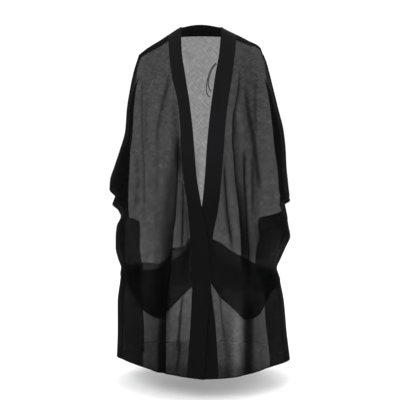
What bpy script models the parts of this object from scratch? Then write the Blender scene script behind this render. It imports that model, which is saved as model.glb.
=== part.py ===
"""A bisht: a sheer black cloak worn open over both shoulders, as a hollow shell of thin cloth walls.

Metres, +Z up. The front faces -Y, and +X is on the right as one faces the cloak. The origin is
midway between the two points where the cloak rests on the shoulders, beside the neck, so a
"drop" below is a height under that level. "left" and "right" are as seen from the front.

Each half is one grid of points. Its rows run down from the shoulder line to the stitch line of
the hip tuck, the tuck's folded edge and the hem. Its columns run from the front band's inner
edge, across the front to the outer edge of the sleeve, through the deep pleat behind the arm,
and over the back to the centre. Every piece is a wall built on part of that grid.
"""

import math

import bmesh
import bpy
import numpy as np

# Walls and gaps
CLOTH_WALL = 0.0015
BAND_WALL = 0.0024
SEAM_GAP = 0.0003
LAYER_STEP = CLOTH_WALL + SEAM_GAP
BAND_PROUD = 0.0009

# Overall sizes
LENGTH = 1.457
SHOULDER_RISE = 0.14  # the drop over which the cloth rolls over the shoulder
BACK_POWER = 2.3  # of a section seen from above: 2 gives an ellipse, more a squarer one
REAR_FOLD_INSET = 0.004
REAR_FOLD_INSET_TOP = 0.040
REAR_FOLD_SPREAD_DROPS = (0.10, 0.30)  # where that top inset has begun and ended
TUCK_DROP = 1.06  # the hip tuck's middle height
HEM_LIFT_SKEW = 1.6  # more than 1 puts the hem's highest point nearer the side
FOLD_HOLD = 0.25  # the share of the front's width over which its folds fade in beside the band
ON_RIDGE = 1e-9  # a point is on the shoulder line if its y is less than this

# Grid counts, for one half
BAND_COLUMNS = 3
FRONT_COLUMNS = 14
PLEAT_COLUMNS = 10
NAPE_COLUMNS = 5
BACK_COLUMNS = 5
TUCK_ROWS = 3
LOWER_ROWS = 7
TOP_TRIES = 30  # steps that settle where a column meets the shoulder line
ROUTE_STEPS = 16  # of a cord's smooth curve between two points of its route
ROW_DROPS_AT_SIDE = (
    0.118, 0.127, 0.145, 0.18, 0.235, 0.31, 0.40, 0.49, 0.58, 0.65,
    0.70, 0.722, 0.757, 0.785, 0.812, 0.856, 0.90, 0.95, 1.00,
)

# Nape of the neck, behind the ridge line
NAPE_INNER_REACH = 0.080
NAPE_OUTER_REACH = 0.122
NAPE_INNER_RISE = 0.022
NAPE_OUTER_DROP = 0.018

# Trim
SEAM_TAPE_WIDTH = 0.009
SEAM_TAPE_WALL = 0.0012
SEAM_TAPE_STEP = 0.003  # the least step between its points along the shoulder
SEAM_TAPE_LIFT = 0.0010
SHARP_ANGLE = math.radians(50)
BINDING_RADIUS = 0.0020
BINDING_SIDES = 6
BINDING_POINTS = 9  # down each edge of a slit
CORD_DIAMETER = 0.0035
CORD_POINT_STEP = 0.008

LEFT, RIGHT = "left", "right"
SIGN = {LEFT: -1.0, RIGHT: 1.0}
HEM_LIFT = {LEFT: 0.024, RIGHT: 0.013}  # the most by which the front hem rises off level


def table(names, *rows):
    """A table's columns by name."""
    return dict(zip(names.split(), np.array(rows, float).T))


def at(values, name, where, key="drop"):
    return np.interp(where, values[key], values[name])


# The shoulder line, from beside the neck to the shoulder tips: how far out it is at each drop.
RIDGE = table(
    "drop left_out right_out",
    (0.000, 0.081, 0.090),
    (0.016, 0.107, 0.120),
    (0.059, 0.172, 0.206),
    (0.089, 0.222, 0.258),
    (0.118, 0.261, 0.270),
)

# The outer edge of the sleeves and sides, and how far the pleat behind the arm reaches in.
SIDE = table(
    "drop left_out right_out left_pleat right_pleat",
    (0.118, 0.261, 0.270, 0.000, 0.000),
    (0.145, 0.270, 0.280, 0.003, 0.003),
    (0.182, 0.282, 0.291, 0.007, 0.007),
    (0.267, 0.301, 0.312, 0.016, 0.014),
    (0.353, 0.315, 0.334, 0.022, 0.020),
    (0.440, 0.322, 0.357, 0.026, 0.028),
    (0.526, 0.345, 0.367, 0.040, 0.034),
    (0.600, 0.369, 0.371, 0.054, 0.040),
    (0.657, 0.390, 0.377, 0.072, 0.046),
    (0.700, 0.391, 0.382, 0.072, 0.050),
    (0.722, 0.368, 0.394, 0.056, 0.058),
    (0.757, 0.380, 0.364, 0.072, 0.050),
    (0.785, 0.354, 0.371, 0.066, 0.080),
    (0.812, 0.342, 0.377, 0.082, 0.124),
    (0.856, 0.362, 0.385, 0.106, 0.136),
    (0.900, 0.368, 0.393, 0.112, 0.142),
    (0.950, 0.368, 0.368, 0.112, 0.118),
    (1.000, 0.358, 0.346, 0.104, 0.094),
    (1.040, 0.343, 0.330, 0.094, 0.076),
    (1.103, 0.352, 0.346, 0.096, 0.076),
    (1.193, 0.365, 0.367, 0.108, 0.084),
    (1.330, 0.367, 0.382, 0.114, 0.092),
    (1.457, 0.373, 0.403, 0.120, 0.102),
)

# How far the front and the back stand off the side line, where the side line lies, how wide
# the pleat's mouth is, and the power of the front's section: 2 is an ellipse, less a pointed one.
DEPTH = table(
    "drop front back side_y mouth power",
    (0.00, 0.088, 0.118, 0.000, 0.052, 2.40),
    (0.10, 0.102, 0.126, 0.000, 0.055, 2.40),
    (0.15, 0.115, 0.131, -0.001, 0.058, 2.40),
    (0.25, 0.136, 0.140, -0.004, 0.064, 2.40),
    (0.45, 0.160, 0.148, -0.012, 0.070, 2.40),
    (0.70, 0.181, 0.158, -0.024, 0.082, 2.30),
    (0.90, 0.200, 0.170, -0.028, 0.088, 2.10),
    (1.06, 0.221, 0.184, -0.026, 0.092, 1.85),
    (1.20, 0.242, 0.202, -0.022, 0.098, 1.65),
    (1.46, 0.280, 0.250, -0.014, 0.110, 1.50),
)

# The front bands' edges, how far their inner edge is turned in towards the body, and how far
# they move apart in depth where the left one laps over the right one.
BANDS = table(
    "drop left_inner left_outer right_inner right_outer left_turn right_turn lap",
    (0.00, 0.081, 0.137, 0.090, 0.158, 0.000, 0.000, 0.0000),
    (0.11, 0.076, 0.130, 0.081, 0.147, 0.004, 0.003, 0.0000),
    (0.22, 0.060, 0.116, 0.062, 0.133, 0.010, 0.006, 0.0000),
    (0.32, 0.044, 0.093, 0.048, 0.117, 0.018, 0.008, 0.0000),
    (0.42, 0.032, 0.082, 0.036, 0.105, 0.020, 0.008, 0.0000),
    (0.52, 0.023, 0.078, 0.027, 0.098, 0.018, 0.006, 0.0010),
    (0.63, 0.014, 0.070, 0.020, 0.090, 0.012, 0.004, 0.0025),
    (0.75, -0.006, 0.052, 0.008, 0.078, 0.004, 0.002, 0.0030),
    (0.91, -0.035, 0.040, -0.019, 0.050, 0.000, 0.000, 0.0030),
    (1.06, -0.045, 0.032, -0.025, 0.045, 0.000, 0.000, 0.0030),
    (1.24, -0.031, 0.040, -0.010, 0.064, 0.000, 0.000, 0.0030),
    (1.46, -0.018, 0.055, 0.006, 0.077, 0.000, 0.000, 0.0030),
)

# The hip tuck's stitch line and folded edge, by distance from the centre.
TUCK_FRONT = table(
    "out left_stitch left_fold right_stitch right_fold",
    (0.03, 0.915, 1.078, 0.905, 1.045),
    (0.09, 0.972, 1.156, 0.928, 1.126),
    (0.13, 1.000, 1.200, 0.956, 1.172),
    (0.17, 1.010, 1.210, 0.972, 1.202),
    (0.20, 1.016, 1.196, 0.985, 1.217),
    (0.24, 1.020, 1.168, 0.998, 1.196),
    (0.27, 1.018, 1.110, 1.002, 1.160),
    (0.31, 1.008, 1.076, 1.002, 1.100),
    (0.36, 1.000, 1.062, 0.996, 1.066),
)
TUCK_BACK = table(
    "out stitch fold",
    (0.00, 1.000, 1.140),
    (0.07, 1.012, 1.160),
    (0.15, 1.074, 1.198),
    (0.22, 1.084, 1.204),
    (0.30, 1.062, 1.182),
    (0.37, 1.030, 1.132),
)

# The largest folds: the two ends of each, how deep and how wide. Positive depths are troughs.
FOLDS = {
    LEFT: table(
        "top_out end_out top_drop end_drop depth width",
        (0.124, 0.176, 0.18, 0.62, 0.010, 0.018),
        (0.099, 0.118, 0.32, 1.05, 0.016, 0.016),
        (0.235, 0.236, 0.20, 0.86, 0.008, 0.020),
        (0.158, 0.168, 0.55, 1.10, -0.010, 0.022),
        (0.148, 0.152, 1.00, 1.60, 0.018, 0.020),
        (0.205, 0.225, 0.95, 1.60, -0.012, 0.030),
    ),
    RIGHT: table(
        "top_out end_out top_drop end_drop depth width",
        (0.142, 0.176, 0.30, 1.02, 0.014, 0.016),
        (0.188, 0.248, 0.28, 0.78, 0.012, 0.018),
        (0.103, 0.142, 0.64, 1.02, 0.012, 0.015),
        (0.180, 0.207, 0.56, 0.94, 0.010, 0.015),
        (0.205, 0.204, 1.12, 1.60, 0.016, 0.020),
        (0.140, 0.150, 1.00, 1.60, -0.010, 0.026),
    ),
    "back": table(
        "top_out end_out top_drop end_drop depth width",
        (0.050, 0.075, 0.34, 1.60, -0.012, 0.034),
        (0.125, 0.165, 0.26, 1.60, 0.014, 0.032),
        (0.200, 0.245, 0.30, 1.60, -0.012, 0.030),
        (0.262, 0.305, 0.40, 1.60, 0.012, 0.024),
    ),
}
FOLD_FADE = 0.12  # the drop over which a fold grows from its top end and dies at its other end

# The hand slits, in the outer edge of each sleeve: where they run and how far they gape.
SLITS = {
    LEFT: {"top": 0.708, "bottom": 0.806},
    RIGHT: {"top": 0.742, "bottom": 0.836},
}
SLIT_FRONT_GAPE = 0.018
SLIT_BACK_GAPE = 0.003
SLIT_TRIES = 41  # heights tried for the slit's ends
LEAST_BOUND_GAPE = 0.0068  # the binding runs where the edges are this far apart

# The tie cord on the right band: one bight, drawn as its two strands. (x, y, z)
CORD_ROUTES = {
    "cord_outer": (
        (0.0665, -0.1200, -0.165),
        (0.0620, -0.1225, -0.1685),
        (0.0560, -0.1240, -0.1745),
        (0.0480, -0.1260, -0.186),
        (0.0410, -0.1285, -0.200),
        (0.0355, -0.1310, -0.216),
        (0.0310, -0.1330, -0.233),
        (0.0280, -0.1350, -0.250),
        (0.0265, -0.1365, -0.266),
        (0.0270, -0.1380, -0.281),
        (0.0305, -0.1395, -0.294),
        (0.0370, -0.1405, -0.302),
        (0.0430, -0.1410, -0.3055),
    ),
    "cord_inner": (
        (0.0680, -0.1230, -0.170),
        (0.0650, -0.1265, -0.1725),
        (0.0590, -0.1285, -0.178),
        (0.0515, -0.1305, -0.189),
        (0.0450, -0.1330, -0.203),
        (0.0395, -0.1355, -0.219),
        (0.0352, -0.1375, -0.236),
        (0.0335, -0.1388, -0.250),
        (0.0350, -0.1398, -0.263),
        (0.0395, -0.1405, -0.274),
        (0.0460, -0.1410, -0.2815),
    ),
}

# Colours of the finished cloth, linear RGB and roughness.
FINISHES = {
    "sheer_cloth": ((0.030, 0.030, 0.032), 0.85),
    "band_cloth": ((0.011, 0.011, 0.012), 0.70),
    "trim_cord": ((0.006, 0.006, 0.007), 0.60),
}


def smoothstep(value):
    value = np.clip(value, 0.0, 1.0)
    return value * value * (3.0 - 2.0 * value)


def section(out, power):
    """How deep a rounded section is, as a share of its full depth, at a share of its width."""
    return max(0.0, 1.0 - out**power) ** (1.0 / power)


def roll(fall):
    """How much of its depth the cloth has reached this far below the shoulder line."""
    rest = 1.0 - np.clip(fall / SHOULDER_RISE, 0.0, 1.0)
    return np.sqrt(1.0 - rest * rest)


def folds_at(folds, out, drop):
    """The depth of the folds in a table at this place."""
    total = 0.0
    for top, end, start, stop, depth, width in zip(*folds.values()):
        centre = np.interp(drop, (start, stop), (top, end))
        grown = smoothstep((drop - start) / FOLD_FADE) * smoothstep((stop - drop) / FOLD_FADE)
        total += depth * grown * math.exp(-(((out - centre) / width) ** 2))
    return total


class Half:
    """One half of the cloak as a grid of points, in rows from the top and columns from the front."""

    def __init__(self, side):
        self.side = side
        self.tip_drop = RIDGE["drop"][-1]
        self.columns = self.column_list()
        self.count = len(self.columns)
        self.front_start = BAND_COLUMNS
        self.side_column = self.front_start + FRONT_COLUMNS
        self.pleat_end = self.side_column + PLEAT_COLUMNS
        self.nape_start = self.pleat_end + BACK_COLUMNS
        self.stitch_row = len(ROW_DROPS_AT_SIDE) - 1
        self.fold_row = self.stitch_row + TUCK_ROWS
        self.hem_row = self.fold_row + LOWER_ROWS
        self.points = np.array([self.fall_line(*c) for c in self.columns]).transpose(1, 0, 2)

    def column_list(self):
        """Each column's zone and its place in that zone, 0 to 1."""
        quarter = math.pi / 2
        nape_share = self.nape_half() / self.rear_fold_out(0.0)
        columns = [("band", i / BAND_COLUMNS) for i in range(BAND_COLUMNS)]
        columns += [("front", math.sin(quarter * i / FRONT_COLUMNS)) for i in range(FRONT_COLUMNS)]
        columns += [("pleat", i / PLEAT_COLUMNS) for i in range(PLEAT_COLUMNS)]
        for i in range(BACK_COLUMNS):
            share = math.sin(quarter * (1 - i / BACK_COLUMNS))
            columns.append(("back", nape_share + (1 - nape_share) * share))
        for i in range(NAPE_COLUMNS + 1):
            columns.append(("back", nape_share * math.sin(quarter * (1 - i / NAPE_COLUMNS))))
        return columns

    def nape_half(self):
        return BANDS[f"{self.side}_outer"][0]

    def ridge_drop(self, out):
        return np.interp(out, RIDGE[f"{self.side}_out"], RIDGE["drop"])

    def side_out(self, drop):
        return at(SIDE, f"{self.side}_out", drop)

    def rear_fold_out(self, drop):
        """Where the pleat's rear fold lies, which spreads in along the shoulder at the top."""
        start, stop = REAR_FOLD_SPREAD_DROPS
        spread = REAR_FOLD_INSET_TOP * (1 - smoothstep((drop - start) / (stop - start)))
        return self.side_out(drop) - REAR_FOLD_INSET - spread

    def out_at(self, zone, place, drop):
        """How far out a column is at this drop."""
        inner = at(BANDS, f"{self.side}_inner", drop)
        outer = at(BANDS, f"{self.side}_outer", drop)
        edge = self.side_out(drop)
        if zone == "band":
            return inner + (outer - inner) * place
        if zone == "front":
            return outer + (edge - outer) * place
        if zone == "back":
            return self.rear_fold_out(drop) * place
        reach = at(SIDE, f"{self.side}_pleat", drop) * math.sin(math.pi * place) ** 2
        return edge - reach - (edge - self.rear_fold_out(drop)) * place

    def top_of(self, zone, place):
        """The drop of a column's top end, and how far behind the shoulder line it is."""
        drop = self.tip_drop / 2
        for _ in range(TOP_TRIES):
            drop = self.ridge_drop(self.out_at(zone, place, drop))
        half = self.nape_half()
        out = self.out_at(zone, place, drop)
        if zone != "back" or out > half - 1e-6:
            return drop, 0.0
        share = min(1.0, self.out_at(zone, place, NAPE_OUTER_DROP) / half)
        edge_drop = self.ridge_drop(half)
        drop = NAPE_OUTER_DROP + (edge_drop - NAPE_OUTER_DROP) * share * share
        return drop, NAPE_OUTER_REACH * math.sqrt(1 - share * share)

    def tuck_at(self, zone, place):
        """The drops of the tuck's stitch line and folded edge on a column."""
        out = abs(self.out_at(zone, place, TUCK_DROP))
        if zone == "back":
            return at(TUCK_BACK, "stitch", out, "out"), at(TUCK_BACK, "fold", out, "out")
        if zone == "pleat":
            front = [TUCK_FRONT[f"{self.side}_{line}"][-1] for line in ("stitch", "fold")]
            back = self.tuck_at("back", 1.0)
            return [a + (b - a) * place for a, b in zip(front, back)]
        return [at(TUCK_FRONT, f"{self.side}_{line}", out, "out") for line in ("stitch", "fold")]

    def row_drops(self, zone, place, top):
        stitch, fold = self.tuck_at(zone, place)
        rows = np.array(ROW_DROPS_AT_SIDE)
        share = (rows - rows[0]) / (rows[-1] - rows[0])
        upper = top + (stitch - top) * share
        tuck = np.linspace(stitch, fold, TUCK_ROWS + 1)[1:]
        lift = 0.0
        if zone == "front":
            lift = HEM_LIFT[self.side] * math.sin(math.pi * place**HEM_LIFT_SKEW)
        lower = np.linspace(fold, LENGTH - lift, LOWER_ROWS + 1)[1:]
        return np.concatenate([upper, tuck, lower])

    def depth_at(self, zone, place, drop, top, top_y):
        """Y at a drop on a column: negative in front, positive behind."""
        side_y = at(DEPTH, "side_y", drop)
        rear_y = side_y + at(DEPTH, "mouth", drop) * roll(drop - top)
        out = self.out_at(zone, place, drop)
        if zone == "pleat":
            return side_y + (rear_y - side_y) * place
        if zone == "back":
            full = at(DEPTH, "back", drop) - folds_at(FOLDS["back"], out, drop)
            grown = roll(drop - top)
            bulge = section(place, BACK_POWER)
            return top_y * (1 - grown) + rear_y + (full - rear_y) * bulge * grown
        y = at(DEPTH, "front", drop)
        lap = at(BANDS, "lap", drop) * -SIGN[self.side]
        if zone == "band":
            turn = at(BANDS, f"{self.side}_turn", drop) * (1 - place)
            return -(y - turn) * roll(drop - top) - lap
        hold = smoothstep(place / FOLD_HOLD)
        full = -y + hold * folds_at(FOLDS[self.side], out, drop) - lap * (1 - hold)
        bulge = section(place, at(DEPTH, "power", drop))
        return side_y + (full - side_y) * bulge * roll(drop - top)

    def fall_line(self, zone, place):
        """The points down one column."""
        top, top_y = self.top_of(zone, place)
        drops = self.row_drops(zone, place, top)
        points = []
        for row, drop in enumerate(drops):
            out = self.out_at(zone, place, drop)
            y = top_y if row == 0 else self.depth_at(zone, place, drop, top, top_y)
            points.append((SIGN[self.side] * out, y, -drop))
        return points


def unit(vectors):
    return vectors / np.maximum(np.linalg.norm(vectors, axis=-1, keepdims=True), 1e-12)


def grid_normals(points):
    """Unit normals of a grid, from the steps along its rows and down its columns."""
    across = np.empty_like(points)
    across[:, 1:-1] = unit(points[:, 2:] - points[:, 1:-1]) + unit(points[:, 1:-1] - points[:, :-2])
    across[:, 0] = points[:, 1] - points[:, 0]
    across[:, -1] = points[:, -1] - points[:, -2]
    down = np.gradient(points, axis=0)
    return unit(np.cross(across, down))


def inset_border(points, gap=SEAM_GAP / 2):
    """The grid with its four borders moved in along the cloth."""
    points = points.copy()
    for _ in range(2):
        for end, inner in ((0, 1), (-1, -2)):
            points[end] += gap * unit(points[inner] - points[end])
        points = points.transpose(1, 0, 2)
    return points


def add_object(name, data, finish):
    data.materials.append(MATERIALS[finish])
    piece = bpy.data.objects.new(name, data)
    bpy.context.scene.collection.objects.link(piece)
    piece.parent = ROOT


def add_mesh(name, shape, finish):
    """The finished bmesh as an object, smooth but for its wall's edges."""
    bmesh.ops.recalc_face_normals(shape, faces=shape.faces)
    mesh = bpy.data.meshes.new(name)
    shape.to_mesh(mesh)
    shape.free()
    mesh.shade_smooth()
    mesh.set_sharp_from_angle(angle=SHARP_ANGLE)
    add_object(name, mesh, finish)


def wall(name, points, normals, outer, thickness, finish):
    """A closed wall on a grid: its outer face is `outer` above the points, or varies by row."""
    rows, columns = points.shape[:2]
    outer = np.broadcast_to(np.reshape(outer, (-1, 1, 1)), (rows, 1, 1))
    points = inset_border(points)
    faces = (points + normals * outer, points + normals * (outer - thickness))
    shape = bmesh.new()
    outside, inside = (
        [[shape.verts.new(point) for point in row] for row in face] for face in faces
    )
    for sheet in (outside, inside):
        for i in range(rows - 1):
            for j in range(columns - 1):
                near, far = sheet[i], sheet[i + 1]
                shape.faces.new((near[j], near[j + 1], far[j + 1]))
                shape.faces.new((near[j], far[j + 1], far[j]))
    border = [(0, j) for j in range(columns)]
    border += [(i, columns - 1) for i in range(1, rows)]
    border += [(rows - 1, j) for j in range(columns - 2, -1, -1)]
    border += [(i, 0) for i in range(rows - 2, 0, -1)]
    for (row, column), (next_row, next_column) in zip(border, border[1:] + border[:1]):
        near = outside[row][column], inside[row][column]
        far = outside[next_row][next_column], inside[next_row][next_column]
        shape.faces.new((near[0], far[0], far[1], near[1]))
    add_mesh(name, shape, finish)


def tube_ring(name, path, radius, sides, finish):
    """A closed ring of round section along a closed path."""
    path = np.array(path)
    ahead = unit(np.roll(path, -1, axis=0) - np.roll(path, 1, axis=0))
    outward = unit(path - path.mean(axis=0))
    outward = unit(outward - ahead * np.sum(outward * ahead, axis=1, keepdims=True))
    upward = np.cross(ahead, outward)
    shape = bmesh.new()
    rings = []
    for centre, a, b in zip(path, outward, upward):
        turns = [2 * math.pi * k / sides for k in range(sides)]
        ring = [centre + radius * (math.cos(turn) * a + math.sin(turn) * b) for turn in turns]
        rings.append([shape.verts.new(point) for point in ring])
    for near, far in zip(rings, rings[1:] + rings[:1]):
        for k in range(sides):
            m = (k + 1) % sides
            shape.faces.new((near[k], near[m], far[m], far[k]))
    add_mesh(name, shape, finish)


def smooth_route(points, step):
    """A smooth curve through the points (Catmull-Rom), read off at an even step."""
    points = np.array(points)
    padded = np.vstack([2 * points[0] - points[1], points, 2 * points[-1] - points[-2]])
    dense = []
    for a, b, c, d in zip(padded, padded[1:], padded[2:], padded[3:]):
        for t in np.linspace(0, 1, ROUTE_STEPS, endpoint=False):
            cubic = (2 * b) + (c - a) * t + (2 * a - 5 * b + 4 * c - d) * t**2
            dense.append(0.5 * (cubic + (3 * b - 3 * c + d - a) * t**3))
    dense = np.array(dense + [points[-1]])
    travelled = np.concatenate([[0], np.cumsum(np.linalg.norm(np.diff(dense, axis=0), axis=1))])
    stops = np.linspace(0, travelled[-1], max(2, round(travelled[-1] / step)) + 1)
    return np.array([np.interp(stops, travelled, dense[:, k]) for k in range(3)]).T


def cord(name, route):
    curve = bpy.data.curves.new(name, "CURVE")
    curve.dimensions = "3D"
    curve.bevel_depth = CORD_DIAMETER / 2
    curve.bevel_resolution = 2
    curve.use_fill_caps = True
    points = smooth_route(route, CORD_POINT_STEP)
    spline = curve.splines.new("POLY")
    spline.points.add(len(points) - 1)
    for target, point in zip(spline.points, points):
        target.co = (*point, 1.0)
    add_object(name, curve, "trim_cord")


def slit_gape(side, drop):
    """How far the hand slit's edges stand apart at this drop, as a share of the most."""
    slit = SLITS[side]
    share = (drop - slit["top"]) / (slit["bottom"] - slit["top"])
    return np.sin(math.pi * np.clip(share, 0.0, 1.0))


def slit_edge(side, edge, shift):
    """A panel's edge, moved away from the seam along the hand slit."""
    edge = edge.copy()
    edge[:, 1] += shift * slit_gape(side, -edge[:, 2])
    return edge


def open_slit(points, side, column, step, shift):
    """The panel with its edge column opened along the hand slit, and the next one half as far."""
    points = points.copy()
    points[:, column] = slit_edge(side, points[:, column], shift)
    points[:, column + step] = slit_edge(side, points[:, column + step], shift / 2)
    return points


def part_seam(points, shift):
    """The panel with its shoulder edge moved back from the seam."""
    points = points.copy()
    points[0, np.abs(points[0, :, 1]) < ON_RIDGE, 1] += shift
    return points


def nape_grid(halves):
    """The neck band's grid, rows from its inner edge out, columns from left to right."""
    columns = []
    for side, order in ((LEFT, range(NAPE_COLUMNS + 1)), (RIGHT, range(NAPE_COLUMNS - 1, -1, -1))):
        half = halves[side]
        inner_half = BANDS[f"{side}_inner"][0]
        for i in order:
            turn = math.pi / 2 * (1 - i / NAPE_COLUMNS)
            outer = half.points[0, half.nape_start + i]
            rise = NAPE_INNER_RISE * math.cos(turn) ** 2
            inner_out = SIGN[side] * inner_half * math.sin(turn)
            inner = (inner_out, NAPE_INNER_REACH * math.cos(turn), rise)
            if i == 0:
                columns.append(half.points[0, : BAND_COLUMNS + 1])
            else:
                columns.append(np.linspace(inner, outer, BAND_COLUMNS + 1))
    return np.array(columns).transpose(1, 0, 2)


def whole_normals(halves, nape):
    """Normals of both halves and of the neck band, shared where pieces meet."""
    left, right = halves[LEFT], halves[RIGHT]
    joined = np.concatenate([left.points, right.points[:, -2::-1]], axis=1)
    normals = grid_normals(joined)
    centre = left.count - 1
    if normals[left.stitch_row, centre, 1] < 0:
        normals = -normals
    for tip in (left.side_column, joined.shape[1] - 1 - right.side_column):
        normals[0, tip] = normals[0, tip - 1] + normals[0, tip + 1] + normals[1, tip]
    on_ridge = np.abs(joined[0, :, 1]) < ON_RIDGE
    normals[0, on_ridge, 1] = 0.0
    normals[0, on_ridge] = unit(normals[0, on_ridge])
    start = left.nape_start
    stop = start + nape.shape[1]
    nape_normals = grid_normals(np.concatenate([nape, joined[1:2, start:stop]]))[:-1]
    if nape_normals[-1, NAPE_COLUMNS, 2] < 0:
        nape_normals = -nape_normals
    normals[0, start + 1 : stop - 1] = nape_normals[-1, 1:-1]
    nape_normals[:, 0] = normals[0, : BAND_COLUMNS + 1]
    nape_normals[:, -1] = normals[0, -1 : -BAND_COLUMNS - 2 : -1]
    return joined, normals, nape_normals


def flank(points, normals, origin, target, reach):
    """A point a little way from one grid point towards another, with its normal."""
    span = np.linalg.norm(points[target] - points[origin])
    share = min(1.0, reach / span)
    point = points[origin] + (points[target] - points[origin]) * share
    return point, unit(normals[origin] + (normals[target] - normals[origin]) * share)


def ridge_lines(points, normals, columns):
    """The shoulder edge and its flank on the cloth, as (x, point, normal) rows in order of x."""
    lines = []
    for reach in (0.0, SEAM_TAPE_WIDTH / 2):
        rows = []
        for column in columns:
            point, normal = flank(points, normals, (0, column), (1, column), reach)
            rows.append((points[0, column, 0], *point, *normal))
        rows = np.array(rows)
        lines.append(rows[np.argsort(rows[:, 0])])
    return lines


def read_line(line, x):
    """The point and the unit normal of a line of ridge_lines at x."""
    found = np.array([np.interp(x, line[:, 0], values) for values in line[:, 1:].T])
    return found[:3], unit(found[3:])


def seam_tape(side, half, points, normals, order):
    """The tape over the shoulder seam, from the neck band out and down to the hand slit."""
    edge = half.side_column
    front = [order(c) for c in range(half.front_start, edge)]
    rear = [order(c) for c in range(edge + 1, half.nape_start + 1)]
    ridge, front_flank = ridge_lines(points, normals, front + [order(edge)])
    _, rear_flank = ridge_lines(points, normals, rear)
    path, tip = [], points[0, order(edge), 0]
    for x in sorted(points[0, front + rear, 0], key=abs):
        if min(abs(x - other) for other in path + [tip]) > SEAM_TAPE_STEP:
            path.append(x)
    rows = [[read_line(line, x) for line in (front_flank, ridge, rear_flank)] for x in path]
    last_row = int(np.searchsorted(-points[:, order(edge), 2], SLITS[side]["top"])) - 1
    for row in range(last_row + 1):
        here, below = (row, order(edge)), max(row, 1)
        sides = [
            flank(points, normals, here, (below, order(edge + step)), SEAM_TAPE_WIDTH / 2)
            for step in (-1, 1)
        ]
        rows.append([sides[0], (points[here], normals[here]), sides[1]])
    grid = np.array([[place[0] for place in row] for row in rows])
    outward = np.array([[place[1] for place in row] for row in rows])
    lift = SEAM_TAPE_LIFT + SEAM_TAPE_WALL
    wall(f"seam_tape_{side}", grid, outward, lift, SEAM_TAPE_WALL, "trim_cord")


def point_down(edge, drop):
    """The point of an edge at this drop."""
    return np.array([np.interp(drop, -edge[:, 2], values) for values in edge.T])


def slit_binding(side, front_edge, back_edge):
    """A round binding sewn round the hand slit, just inside the edges of the two panels."""
    clear = np.array([0.0, BINDING_RADIUS + 2 * SEAM_GAP, 0.0])
    inward = np.array([-SIGN[side] * CLOTH_WALL / 2, 0.0, 0.0])
    open_drops = []
    for drop in np.linspace(SLITS[side]["top"], SLITS[side]["bottom"], SLIT_TRIES):
        gape = point_down(back_edge, drop)[1] - point_down(front_edge, drop)[1]
        if gape > LEAST_BOUND_GAPE:
            open_drops.append(drop)
    drops = np.linspace(open_drops[0], open_drops[-1], BINDING_POINTS)
    path = [point_down(front_edge, drop) + inward + clear for drop in drops]
    path += [point_down(back_edge, drop) + inward - clear for drop in drops[::-1]]
    tube_ring(f"slit_binding_{side}", path, BINDING_RADIUS, BINDING_SIDES, "trim_cord")


def upper_offsets(half):
    """The upper cloth's outer face, row by row: it steps out over the tuck."""
    rows = np.zeros(half.fold_row + 1)
    rows[half.stitch_row :] = LAYER_STEP
    return rows


def tiers(name, half, points, normals):
    """A panel's upper cloth, its tuck layer and its lower cloth."""
    stitch, fold, hem = half.stitch_row, half.fold_row, half.hem_row
    upper = slice(0, fold + 1)
    tuck = slice(stitch, fold + 1)
    lower = slice(stitch, hem + 1)
    sheer = "sheer_cloth"
    wall(f"{name}_upper", points[upper], normals[upper], upper_offsets(half), CLOTH_WALL, sheer)
    wall(f"{name}_tuck", points[tuck], normals[tuck], 0.0, CLOTH_WALL, sheer)
    wall(f"{name}_lower", points[lower], normals[lower], -LAYER_STEP, CLOTH_WALL, sheer)


def make_materials():
    made = {}
    for name, (colour, roughness) in FINISHES.items():
        material = bpy.data.materials.new(name)
        material.use_nodes = True
        shader = material.node_tree.nodes["Principled BSDF"]
        shader.inputs["Base Color"].default_value = (*colour, 1.0)
        shader.inputs["Roughness"].default_value = roughness
        shader.inputs["Metallic"].default_value = 0.0
        made[name] = material
    return made


def build():
    halves = {side: Half(side) for side in (LEFT, RIGHT)}
    nape = nape_grid(halves)
    points, normals, nape_normals = whole_normals(halves, nape)
    last = points.shape[1] - 1
    orders = {LEFT: lambda column: column, RIGHT: lambda column: last - column}

    for side, half in halves.items():
        order = orders[side]
        columns = sorted(order(c) for c in range(half.front_start, half.side_column + 1))
        edge = 0 if side == RIGHT else -1
        step = 1 if side == RIGHT else -1
        front = open_slit(points[:, columns], side, edge, step, -SLIT_FRONT_GAPE)
        front = part_seam(front, -SEAM_GAP)
        tiers(f"front_{side}", half, front, normals[:, columns])
        columns = sorted(order(c) for c in range(BAND_COLUMNS + 1))
        band, outward = points[:, columns], normals[:, columns]
        wall(f"band_{side}", band, outward, BAND_PROUD, BAND_WALL, "band_cloth")
        seam_tape(side, half, points, normals, order)
        side_edge = points[:, order(half.side_column)]
        slit_binding(
            side,
            slit_edge(side, side_edge, -SLIT_FRONT_GAPE),
            slit_edge(side, side_edge, SLIT_BACK_GAPE),
        )

    first, stop = halves[LEFT].side_column, last - halves[RIGHT].side_column
    back = points[:, first : stop + 1]
    back = open_slit(back, LEFT, 0, 1, SLIT_BACK_GAPE)
    back = open_slit(back, RIGHT, -1, -1, SLIT_BACK_GAPE)
    back = part_seam(back, SEAM_GAP)
    tiers("back", halves[LEFT], back, normals[:, first : stop + 1])
    wall("band_neck", nape, nape_normals, BAND_PROUD, BAND_WALL, "band_cloth")
    for name, route in CORD_ROUTES.items():
        cord(name, route)


for old in list(bpy.data.objects):
    bpy.data.objects.remove(old, do_unlink=True)
ROOT = bpy.data.objects.new("bisht", None)
bpy.context.scene.collection.objects.link(ROOT)
MATERIALS = make_materials()
build()
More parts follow.
